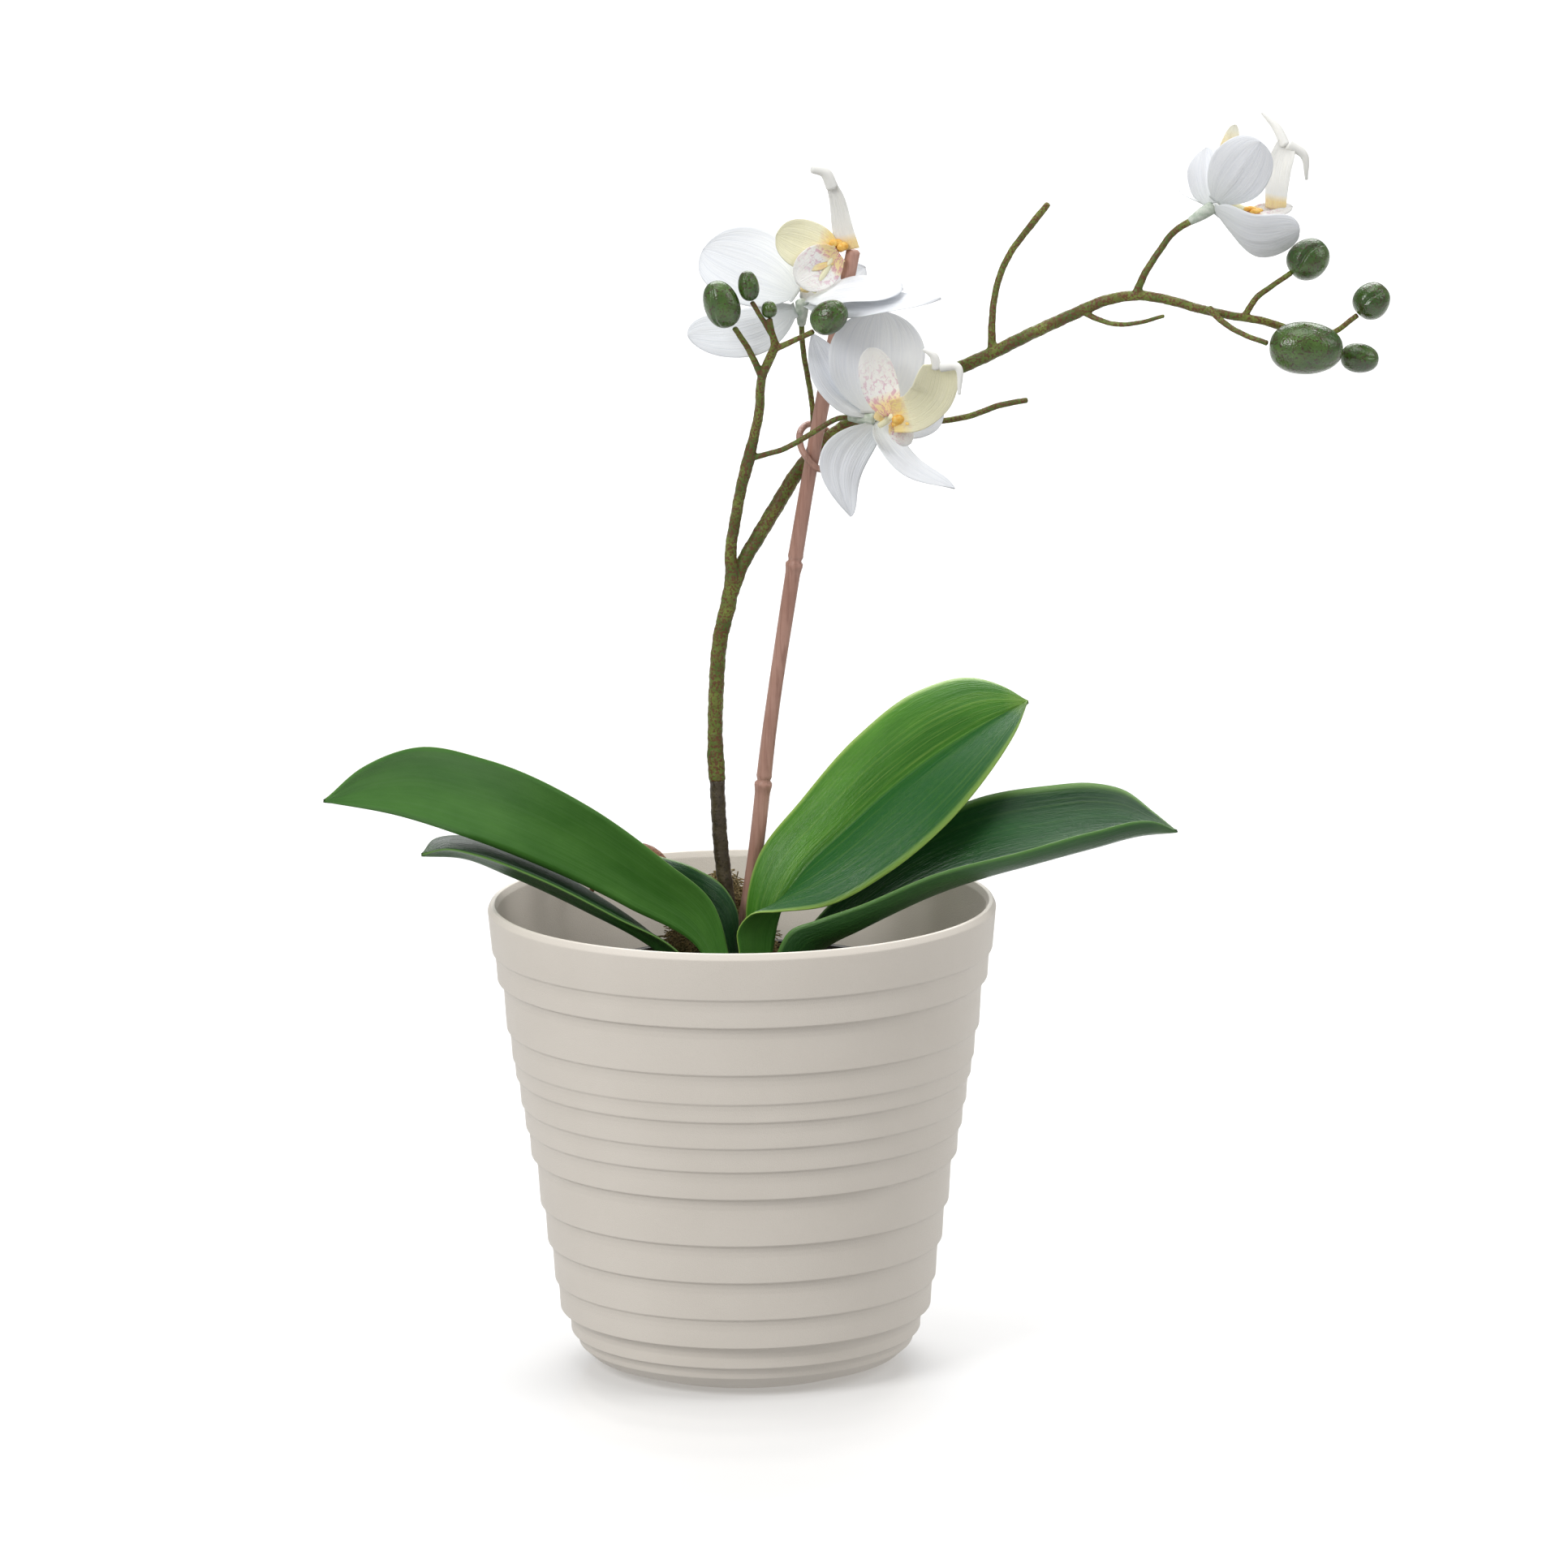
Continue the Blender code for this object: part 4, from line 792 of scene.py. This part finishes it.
def add_look(name, build, roughness, **settings):
    """build gives the colour, the height of the fine relief and its depth in metres."""
    made = bpy.data.materials.new(name)
    made.use_nodes = True
    tree = made.node_tree
    shader = tree.nodes["Principled BSDF"]
    where = tree.nodes.new("ShaderNodeTexCoord")
    colour, height, depth = build(tree, where.outputs["Object"], where.outputs["UV"])
    tree.links.new(colour, shader.inputs["Base Color"])
    bump = node(tree, "ShaderNodeBump", Height=height, Distance=depth)
    tree.links.new(bump.outputs["Normal"], shader.inputs["Normal"])
    if isinstance(roughness, tuple):
        low, high, scale = roughness
        patchy = noise(tree, where.outputs["Object"], scale)
        tree.links.new(ramp(tree, patchy, (0.35, low), (0.65, high)), shader.inputs["Roughness"])
    else:
        shader.inputs["Roughness"].default_value = roughness
    for key, value in settings.items():
        shader.inputs[key.replace("_", " ")].default_value = value
    LOOKS[name] = made


def grained(scale, dark, light, depth, detail=3.0, roughness=0.55, spread=0.2):
    """Two colours mixed by one fine noise, which is the relief as well."""
    def build(tree, where, uv):
        grain = noise(tree, where, scale, detail, roughness)
        return ramp(tree, grain, (0.5 - spread, dark), (0.5 + spread, light)), grain, depth
    return build


def pot_look(tree, where, uv):
    clouds = noise(tree, where, 30)
    body = ramp(tree, clouds, (0.3, (0.79, 0.73, 0.65)), (0.7, (0.82, 0.76, 0.68)))
    grain = noise(tree, where, 2600, 4)
    flecks = ramp(tree, grain, (0.55, 0.0), (0.8, 0.12))
    return blend(tree, flecks, body, (0.5, 0.45, 0.4)), grain, 0.0001


def moss_look(tree, where, uv):
    patches = noise(tree, where, 90, 4, 0.6)
    fibres = noise(tree, stretched(tree, where, (1, 1, 0.35)), 900, 5, 0.7, 1.5)
    colours = ramp(tree, patches, (0.32, (0.2, 0.18, 0.06)), (0.45, (0.4, 0.3, 0.13)),
                   (0.58, (0.52, 0.4, 0.2)), (0.7, (0.34, 0.16, 0.06)))
    # Painted shade: near-black in the low hollows of the fibre relief, between the fibres.
    painted_gap_shade = ramp(tree, fibres, (0.35, 0.75), (0.6, 0.0))
    return blend(tree, painted_gap_shade, colours, (0.02, 0.018, 0.008)), fibres, 0.0012


def leaf_top(dark, light, rim, veins, shaded_half=None):
    """A leaf's face; the optional last colour is painted shade, darkening its half nearer the
    viewer, where the veins are fainter too.
    """
    def build(tree, where, uv):
        split = node(tree, "ShaderNodeSeparateXYZ", Vector=uv)
        across, along = split.outputs["X"], split.outputs["Y"]
        lines = strands(tree, uv, 46, 1.6, 3, 0.6)
        cells = strands(tree, uv, 60, 40, 4, 0.6)
        body = ramp(tree, strands(tree, uv, 3, 2.2), (0.35, dark), (0.68, light))
        streaks = ramp(tree, lines, (0.5, 0.0), (0.72, veins))
        # Painted shade: the half nearer the viewer takes the darker colour, and its veins are
        # fainter.
        if shaded_half:
            body = blend(tree, ramp(tree, across, (0.485, 0.0), (0.51, 1.0)), body, shaded_half)
            shares = ramp(tree, across, (0.15, 0.35), (0.45, 1.0), (0.485, 1.0), (0.51, 0.25))
            streaks = combine_values(tree, "MULTIPLY", streaks, shares)
        veined = blend(tree, streaks, body, rim)
        mottled = blend(tree, ramp(tree, cells, (0.45, 0.0), (0.8, 0.5)), veined, dark)
        off = combine_values(tree, "SUBTRACT", across, 0.5)
        off = combine_values(tree, "ABSOLUTE", off, 0.0)
        rimmed = blend(tree, ramp(tree, off, (0.455, 0.0), (0.492, 0.85)), mottled, rim)
        ribbed = blend(tree, ramp(tree, off, (0.0, 0.55), (0.016, 0.0)), rimmed, dark)
        tip = ramp(tree, along, (0.93, 0.0), (1.0, 0.5))
        return blend(tree, tip, ribbed, rim), combine_values(tree, "ADD", lines, cells), 0.00025
    return build


def leaf_under(tree, where, uv):
    lines = strands(tree, uv, 50, 1.5, 3, 0.6)
    clouds = strands(tree, uv, 4, 5)
    body = ramp(tree, clouds, (0.3, (0.045, 0.17, 0.02)), (0.72, (0.095, 0.27, 0.045)))
    veins = ramp(tree, lines, (0.45, 0.0), (0.75, 0.3))
    return blend(tree, veins, body, (0.13, 0.3, 0.09)), lines, 0.00012


def speckled(base, second, speck, dense):
    """Moulded plastic bark: a mottled body under many small dark specks."""
    def build(tree, where, uv):
        body = ramp(tree, noise(tree, where, 110, 4), (0.38, base), (0.64, second))
        specks = noise(tree, where, 1250, 2, 0.5)
        large = noise(tree, where, 330, 3, 0.6)
        washed = blend(tree, ramp(tree, large, (0.5, 0.0), (0.68, 0.55)), body, speck)
        amount = ramp(tree, specks, (dense, 0.0), (dense + 0.05, 0.85))
        height = combine_values(tree, "ADD", specks, large)
        return blend(tree, amount, washed, speck), height, 0.0002
    return build


def cane_look(tree, where, uv):
    lines = noise(tree, stretched(tree, where, (900, 900, 22)), 1.0, 3, 0.6)
    patches = noise(tree, where, 60, 3)
    body = ramp(tree, patches, (0.35, (0.42, 0.225, 0.17)), (0.65, (0.52, 0.3, 0.235)))
    grooves = ramp(tree, lines, (0.48, 0.0), (0.7, 0.55))
    return blend(tree, grooves, body, (0.26, 0.12, 0.085)), lines, 0.0003


def petal_look(tree, where, uv):
    veins = strands(tree, uv, 34, 2.0, 3, 0.5, 0.4)
    weave = strands(tree, uv, 160, 110, 2)
    # The vein streaks are the fabric's texture, and also painted shade: darker and cooler where the
    # vein relief is low, in the valleys.
    body = ramp(tree, veins, (0.36, (0.79, 0.815, 0.865)), (0.6, (0.845, 0.865, 0.9)))
    split = node(tree, "ShaderNodeSeparateXYZ", Vector=uv)
    base = ramp(tree, split.outputs["Y"], (0.0, 0.35), (0.3, 0.0))
    height = combine_values(tree, "ADD", veins, combine_values(tree, "MULTIPLY", weave, 0.25))
    return blend(tree, base, body, (0.72, 0.78, 0.7)), height, 0.00025


def lip_look(body, reach, amount, yellow_end=0.22):
    """Printed fabric: magenta streaks that start at the base and fade out at reach."""
    def build(tree, where, uv):
        along = node(tree, "ShaderNodeSeparateXYZ", Vector=uv).outputs["Y"]
        streaks = strands(tree, uv, 9, 16, 3, 0.6, 1.0)
        fine = strands(tree, uv, 36, 2.5)
        fade = ramp(tree, along, (0.02, 1.0), (reach, 0.0))
        spots = ramp(tree, streaks, (0.5, 0.0), (0.6, amount))
        yellow = ramp(tree, along, (yellow_end * 0.5, 0.75), (yellow_end, 0.0))
        warm = blend(tree, yellow, body, (0.9, 0.62, 0.14))
        tinted = blend(tree, ramp(tree, fine, (0.4, 0.0), (0.7, 0.25)), warm, (0.9, 0.86, 0.7))
        printed = combine_values(tree, "MULTIPLY", spots, fade)
        return blend(tree, printed, tinted, (0.55, 0.12, 0.32)), fine, 0.0003
    return build


SOFT = {
    "Subsurface_Weight": 0.2, "Subsurface_Scale": 0.002, "Subsurface_Radius": (1.0, 0.97, 0.94),
}
add_look("pot_plastic", pot_look, 0.5, Specular_IOR_Level=0.4)
add_look("nursery_plastic", grained(1500, (0.006,) * 3, (0.014,) * 3, 0.00008, 4), 0.4)
add_look("potting_foam", grained(400, (0.02, 0.014, 0.008), (0.09, 0.06, 0.035), 0.0015, 6, 0.7),
         0.95)
add_look("moss", moss_look, 0.95, Specular_IOR_Level=0.2)
add_look("leaf_dark",
         leaf_top((0.006, 0.045, 0.01), (0.014, 0.085, 0.018), (0.14, 0.28, 0.06), 0.16),
         (0.26, 0.4, 25), Specular_IOR_Level=0.35)
# leaf_3's face; its last colour is painted shade on the half nearer the viewer.
add_look("leaf_light",
         leaf_top((0.035, 0.15, 0.01), (0.09, 0.28, 0.02), (0.32, 0.5, 0.1), 0.5,
                  (0.012, 0.1, 0.016)),
         (0.28, 0.42, 25), Specular_IOR_Level=0.35)
add_look("leaf_under", leaf_under, 0.4, Specular_IOR_Level=0.35)
add_look("leaf_back", leaf_top((0.01, 0.055, 0.01), (0.03, 0.12, 0.02), (0.1, 0.24, 0.05), 0.15),
         0.35, Specular_IOR_Level=0.4)
add_look("root", speckled((0.2, 0.085, 0.04), (0.32, 0.15, 0.075), (0.08, 0.03, 0.015), 0.6), 0.5)
add_look("stem", speckled((0.08, 0.125, 0.02), (0.2, 0.24, 0.045), (0.14, 0.045, 0.022), 0.5),
         (0.38, 0.6, 200), Specular_IOR_Level=0.35)
add_look("stem_base",
         speckled((0.045, 0.03, 0.015), (0.08, 0.06, 0.03), (0.02, 0.012, 0.008), 0.6), 0.4)
add_look("cane", cane_look, (0.35, 0.5, 80))
add_look("bud", speckled((0.035, 0.085, 0.012), (0.08, 0.155, 0.026), (0.05, 0.022, 0.012), 0.57),
         (0.13, 0.3, 60), Specular_IOR_Level=0.6)
add_look("petal", petal_look, 0.62, Sheen_Weight=0.15, **SOFT)
add_look("lip_cream", lip_look((0.9, 0.86, 0.58), 0.3, 0.3), 0.6, **SOFT)
add_look("lip_streaked", lip_look((0.9, 0.89, 0.87), 0.75, 0.7), 0.6, **SOFT)
add_look("lip_white", lip_look((0.88, 0.875, 0.84), 0.2, 0.2), 0.6, **SOFT)
add_look("lip_yellow", lip_look((0.93, 0.9, 0.72), 0.05, 0.0, 0.75), 0.55, **SOFT)
add_look("callus", grained(700, (0.8, 0.38, 0.04), (0.92, 0.62, 0.16), 0.0004, spread=0.15), 0.45)
add_look("calyx", grained(600, (0.42, 0.5, 0.4), (0.66, 0.7, 0.62), 0.0002, spread=0.15), 0.5)
add_look("floor", grained(40, (0.9,) * 3, (0.91,) * 3, 0.00001, 2), 0.12,
         Specular_IOR_Level=0.5, Emission_Strength=0.13)


def add_pots():
    for name, profile, rounding, sides, node_name, slot in (
        ("pot", undercut(outer_pot_profile()), POT_ROUNDING, POT_SIDES, "outer_pot", "pot_plastic"),
        ("inner_pot", nursery_pot_profile(), NURSERY_ROUNDING, NURSERY_SIDES, "nursery_pot",
         "nursery_plastic"),
        ("filling", medium_profile(), MEDIUM_ROUNDING, MEDIUM_SIDES, "potting_medium",
         "potting_foam"),
    ):
        show(lathe(name, rounded(profile, rounding), LOOKS[slot], sides), node_name)


def moss_point(share, angle, lift=0.0):
    half_width, front, back = MOSS_SIZE
    depth = back if math.sin(angle) > 0 else front
    bump = 1 + 0.05 * math.sin(5 * angle + 10.2 * (1 - share)) + 0.03 * math.cos(9 * angle)
    x = MOSS_CENTRE[0] + half_width * share * bump * math.cos(angle)
    y = MOSS_CENTRE[1] + depth * share * bump * math.sin(angle)
    held = min(1.0, MOSS_LIMIT / math.hypot(x, y))
    z = MEDIUM_TOP + GAP + (MOSS_HEIGHT - 2) * (1 - share**1.6)
    return np.array((x * held, y * held, z + lift))


def add_moss():
    points = []
    for i in range(MOSS_RINGS + 1):
        share = 1 - i / MOSS_RINGS if i < MOSS_RINGS else 0.004
        for k in range(MOSS_SIDES):
            point = moss_point(share, 2 * math.pi * k / MOSS_SIDES)
            rough = 0.7 * math.sin(k * 1.9 + i * 2.3) + 0.6 * math.sin(k * 0.7 - i * 1.1)
            points.append(point + (0, 0, rough * min(1, i / 3)))
    faces = ring_faces(MOSS_RINGS + 1, MOSS_SIDES)
    faces.append(tuple(range(MOSS_RINGS * MOSS_SIDES, (MOSS_RINGS + 1) * MOSS_SIDES)))
    faces.append(tuple(range(MOSS_SIDES - 1, -1, -1)))
    show(new_object("moss_mound", points, faces, [LOOKS["moss"]]), "moss")
    chance = np.random.default_rng(7)
    curve = bpy.data.curves.new("moss_fibres", "CURVE")
    curve.dimensions = "3D"
    curve.bevel_depth = FIBRE_RADIUS * MM
    curve.bevel_resolution = 1
    curve.use_fill_caps = True
    for _ in range(MOSS_FIBRES):
        point = moss_point(math.sqrt(chance.uniform(0, 0.92)), chance.uniform(0, 2 * math.pi), 0.3)
        heading = chance.normal(size=3) * (1, 1, 0.35)
        turn = chance.normal(size=3) * (0.8, 0.8, 0.3)
        spline = curve.splines.new("POLY")
        spline.points.add(FIBRE_POINTS - 1)
        for each in spline.points:
            each.co = (*(point * MM), 1)
            each.radius = chance.uniform(0.6, 1.2)
            point = point + unit(heading) * FIBRE_STEP
            held = min(1.0, (MOSS_LIMIT + 0.5) / math.hypot(point[0], point[1]))
            point[:2] *= held
            point[2] = min(point[2], MEDIUM_TOP + MOSS_HEIGHT)
            heading = heading + turn * 0.6 + (0, 0, -0.2)
    curve.materials.append(LOOKS["moss"])
    fibres = bpy.data.objects.new("moss_fibres", curve)
    bpy.context.scene.collection.objects.link(fibres)
    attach(fibres, "root")


def add_leaves():
    for name, (*rails, arch) in LEAVES.items():
        grid = np.array(leaf_grid(rails, arch))
        slopes = np.cross(np.gradient(grid, axis=0), np.gradient(grid, axis=1))
        mirrored = slopes[..., 2].sum() < 0
        if mirrored:
            grid = grid[:, ::-1]
        top = LOOKS["leaf_light" if name == "leaf_3" else "leaf_dark"]
        under = LOOKS["leaf_under" if name in ("leaf_1", "leaf_3") else "leaf_back"]
        blade = sheet_shape(grid, LEAF_THICKNESS, mirrored)
        show(join(name + "_blade", [blade], [top, under]), name)


def bark(angle, length):
    """Share of a stem's radius: low ridges and lumps."""
    lump = 0.035 * math.sin(0.9 * length + angle) + 0.03 * math.sin(2.3 * length - 2 * angle)
    return 1 + 0.04 * math.sin(3 * angle + 0.11 * length) + lump


def ridged(angle, length):
    """Share of the cane's radius: five low ridges, and a swelling and a groove at each node."""
    swell = sum(math.exp(-(((length - at) / NODE_LENGTH) ** 2)) for at in CANE_NODES)
    groove = sum(math.exp(-(((length - at - 1.2) / GROOVE_LENGTH) ** 2)) for at in CANE_NODES)
    taper = 0.03 * math.sin(0.08 * length)
    return 1 + 0.04 * math.cos(5 * angle) + NODE_SWELL * swell - GROOVE_DEPTH * groove - taper


def add_stems():
    show(tube("stem_low", STEM_LOWER, LOOKS["stem_base"], wobble=bark), "stem_lower")
    shapes = [flat(tube_shape(path, 14, 1.2, bark), 0) for path in (MAIN_STEM, RIGHT_BRANCH)]
    shapes += [flat(tube_shape(path, 12, 1.0, bark), 0) for path in SIDE_STEMS.values()]
    spike = join("spike", shapes, [LOOKS["stem"]])
    remesh = spike.modifiers.new("blend", "REMESH")
    remesh.mode = "VOXEL"
    remesh.voxel_size = STEM_VOXEL * MM
    remesh.use_smooth_shade = True
    smooth = spike.modifiers.new("soften", "SMOOTH")
    smooth.factor = 0.5
    smooth.iterations = 4
    show(spike, "flower_spike")
    show(tube("support_cane", CANE, LOOKS["cane"], 30, 0.8, ridged), "cane")
    tie = [(*point, TIE_RADIUS) for point in TIE]
    show(tube("tie_loop", tie, LOOKS["cane"], 16, 0.7, closed=True), "cane_tie")
    show(tube("root_curl", AERIAL_ROOT, LOOKS["root"], wobble=bark), "aerial_root")


def seam_depth(seams, angle, polar, turn):
    """How far a bud's seams cut in here, as a share of the deepest."""
    depth = 0.0
    for at, reach in seams:
        bend = math.radians(at + 14 * math.sin(2 * polar + turn))
        gap = abs((angle - bend + math.pi) % (2 * math.pi) - math.pi)
        fade = min(1.0, max(0.0, (polar - reach) * 3))
        shoulder = 0.25 * math.exp(-((gap / SEAM_SHOULDER) ** 2))
        depth += fade * (math.exp(-((gap / SEAM_WIDTH) ** 2)) - shoulder)
    return depth


def add_buds():
    for number, (name, (centre, direction, length, width)) in enumerate(BUDS.items()):
        centre, direction = np.array(centre), unit(direction)
        across = unit(np.cross(direction, (0, 1, 0)))
        upward = np.cross(across, direction)
        depth, seams = BUD_SEAMS[name]
        points = [centre - direction * length / 2]
        for i in range(1, BUD_RINGS):
            polar = math.pi * i / BUD_RINGS
            radius = width / 2 * math.sin(polar) ** 0.85 * (1 + 0.06 * math.cos(polar))
            middle = centre - direction * length / 2 * math.cos(polar)
            for k in range(BUD_SIDES):
                angle = 2 * math.pi * k / BUD_SIDES
                share = 1 - depth * seam_depth(seams, angle, polar, number)
                share += 0.012 * math.sin(4 * angle + number)
                offset = across * math.cos(angle) + upward * math.sin(angle)
                points.append(middle + offset * radius * share)
        points.append(centre + direction * length / 2)
        faces = ball_faces(BUD_RINGS - 1, BUD_SIDES)
        show(new_object(name + "_body", points, faces, [LOOKS["bud"]]), name)


def with_radii(points, radii):
    return [(*point, radius) for point, radius in zip(points, radii)]


def add_lip(name, flower, phase):
    chance = np.random.default_rng(3)
    size = np.array(flower["callus_size"])
    shapes = []
    for _ in range(CALLUS_LUMPS):
        spot = np.array(flower["callus"]) + chance.uniform(-0.6, 0.6, 3) * size
        shapes.append(flat(lump_shape(spot, size * chance.uniform(0.36, 0.55)), CALLUS))
    claw = [(*point, LIP_CLAW_RADIUS) for point in flower["claw"]]
    shapes.append(flat(tube_shape(claw, 14, 0.6), CREAM))
    grids = [
        petal_grid(*lobe, 0.0, lobe_outline, LOBE_RUFFLE, phase + k)
        for k, lobe in enumerate(flower["lobes"])
    ]
    middle = (flower["midlobe"], flower["midlobe_face"], flower["midlobe_widths"])
    grids.append(midlobe_grid(*middle, phase))
    for grid, number in zip(grids, LOBE_LOOKS[name]):
        points, faces, _, uvs = sheet_shape(grid, LIP_THICKNESS)
        shapes.append((points, faces, [number] * len(faces), uvs))
    for line in flower["tendrils"]:
        path = with_radii(line, flower["tendril_radii"])
        shapes.append(flat(tube_shape(path, 16, 0.5), WHITE))
    looks = [LOOKS[key] for key in LIP_LOOKS]
    show(join(name + "_lip_form", shapes, looks), name + "_lip")


def add_flowers():
    for number, (name, flower) in enumerate(FLOWERS.items()):
        centre, facing = np.array(flower["centre"], float), unit(flower["facing"])
        for k, (petal, values) in enumerate(flower["petals"].items()):
            tip, face, *form, layer, sweep = values
            root = centre + unit(np.array(tip) - centre) * PETAL_ROOT + facing * layer
            outline = sepal_outline if petal.startswith("sepal") else petal_outline
            phase = k + 2 * number
            grid = petal_grid(root, tip, face, *form, sweep, outline, PETAL_RUFFLE, phase)
            blade = sheet_shape(grid, PETAL_THICKNESS)
            whole = f"{name}_{petal}"
            show(join(whole + "_blade", [blade], [LOOKS["petal"]] * 2), whole)
        foot, head = (np.array(point, float) for point in flower["column"])
        path = with_radii((foot, (foot + head) / 2, head), COLUMN_RADII)
        column = tube(name + "_column_form", path, LOOKS["lip_white"], 20, 0.5)
        show(column, name + "_column")
        low, high = np.array(flower["stalk_end"], float), centre + facing * CALYX_LIFT
        path = with_radii((low, (low + high) / 2, high), CALYX_RADII)
        show(tube(name + "_calyx_form", path, LOOKS["calyx"], 20, 0.5), name + "_calyx")
        add_lip(name, flower, 1.1 * number)


def add_stage():
    mesh = bpy.data.meshes.new("floor")
    low, high = -FLOOR_HALF, FLOOR_HALF
    corners = [(low, low, 0), (high, low, 0), (high, high, 0), (low, high, 0)]
    mesh.from_pydata(corners, [], [(0, 1, 2, 3)])
    mesh.materials.append(LOOKS["floor"])
    floor = bpy.data.objects.new("floor", mesh)
    bpy.context.scene.collection.objects.link(floor)
    # Without the floor's bounce, the undersides of the pot's ledges stay dark.
    floor.visible_diffuse = False


def add_light(name, place, target, size, power):
    light = bpy.data.lights.new(name, "AREA")
    light.shape = "SQUARE"
    light.size = size
    light.energy = power
    obj = bpy.data.objects.new(name, light)
    obj.location = place
    obj.rotation_euler = (Vector(target) - Vector(place)).to_track_quat("-Z", "Y").to_euler()
    bpy.context.scene.collection.objects.link(obj)


def add_studio():
    scene = bpy.context.scene
    scene.world = bpy.data.worlds.new("studio")
    scene.world.use_nodes = True
    background = scene.world.node_tree.nodes["Background"]
    background.inputs["Color"].default_value = (1, 1, 1, 1)
    background.inputs["Strength"].default_value = WORLD_LIGHT
    for name, settings in LIGHTS.items():
        add_light(name, *settings)
    camera = bpy.data.cameras.new("camera")
    camera.lens = CAMERA_LENS
    camera.sensor_width = 36.0
    camera.clip_end = 100.0
    obj = bpy.data.objects.new("camera", camera)
    obj.location = CAMERA_PLACE
    tilt = Matrix.Rotation(math.radians(CAMERA_TILT), 4, "X")
    roll = Matrix.Rotation(math.radians(CAMERA_ROLL), 4, "Z")
    obj.rotation_euler = (tilt @ roll).to_euler()
    scene.collection.objects.link(obj)
    scene.camera = obj
    scene.view_settings.view_transform = "Standard"
    scene.view_settings.look = "None"


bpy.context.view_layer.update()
add_pots()
add_moss()
add_leaves()
add_stems()
add_buds()
add_flowers()
add_stage()
add_studio()
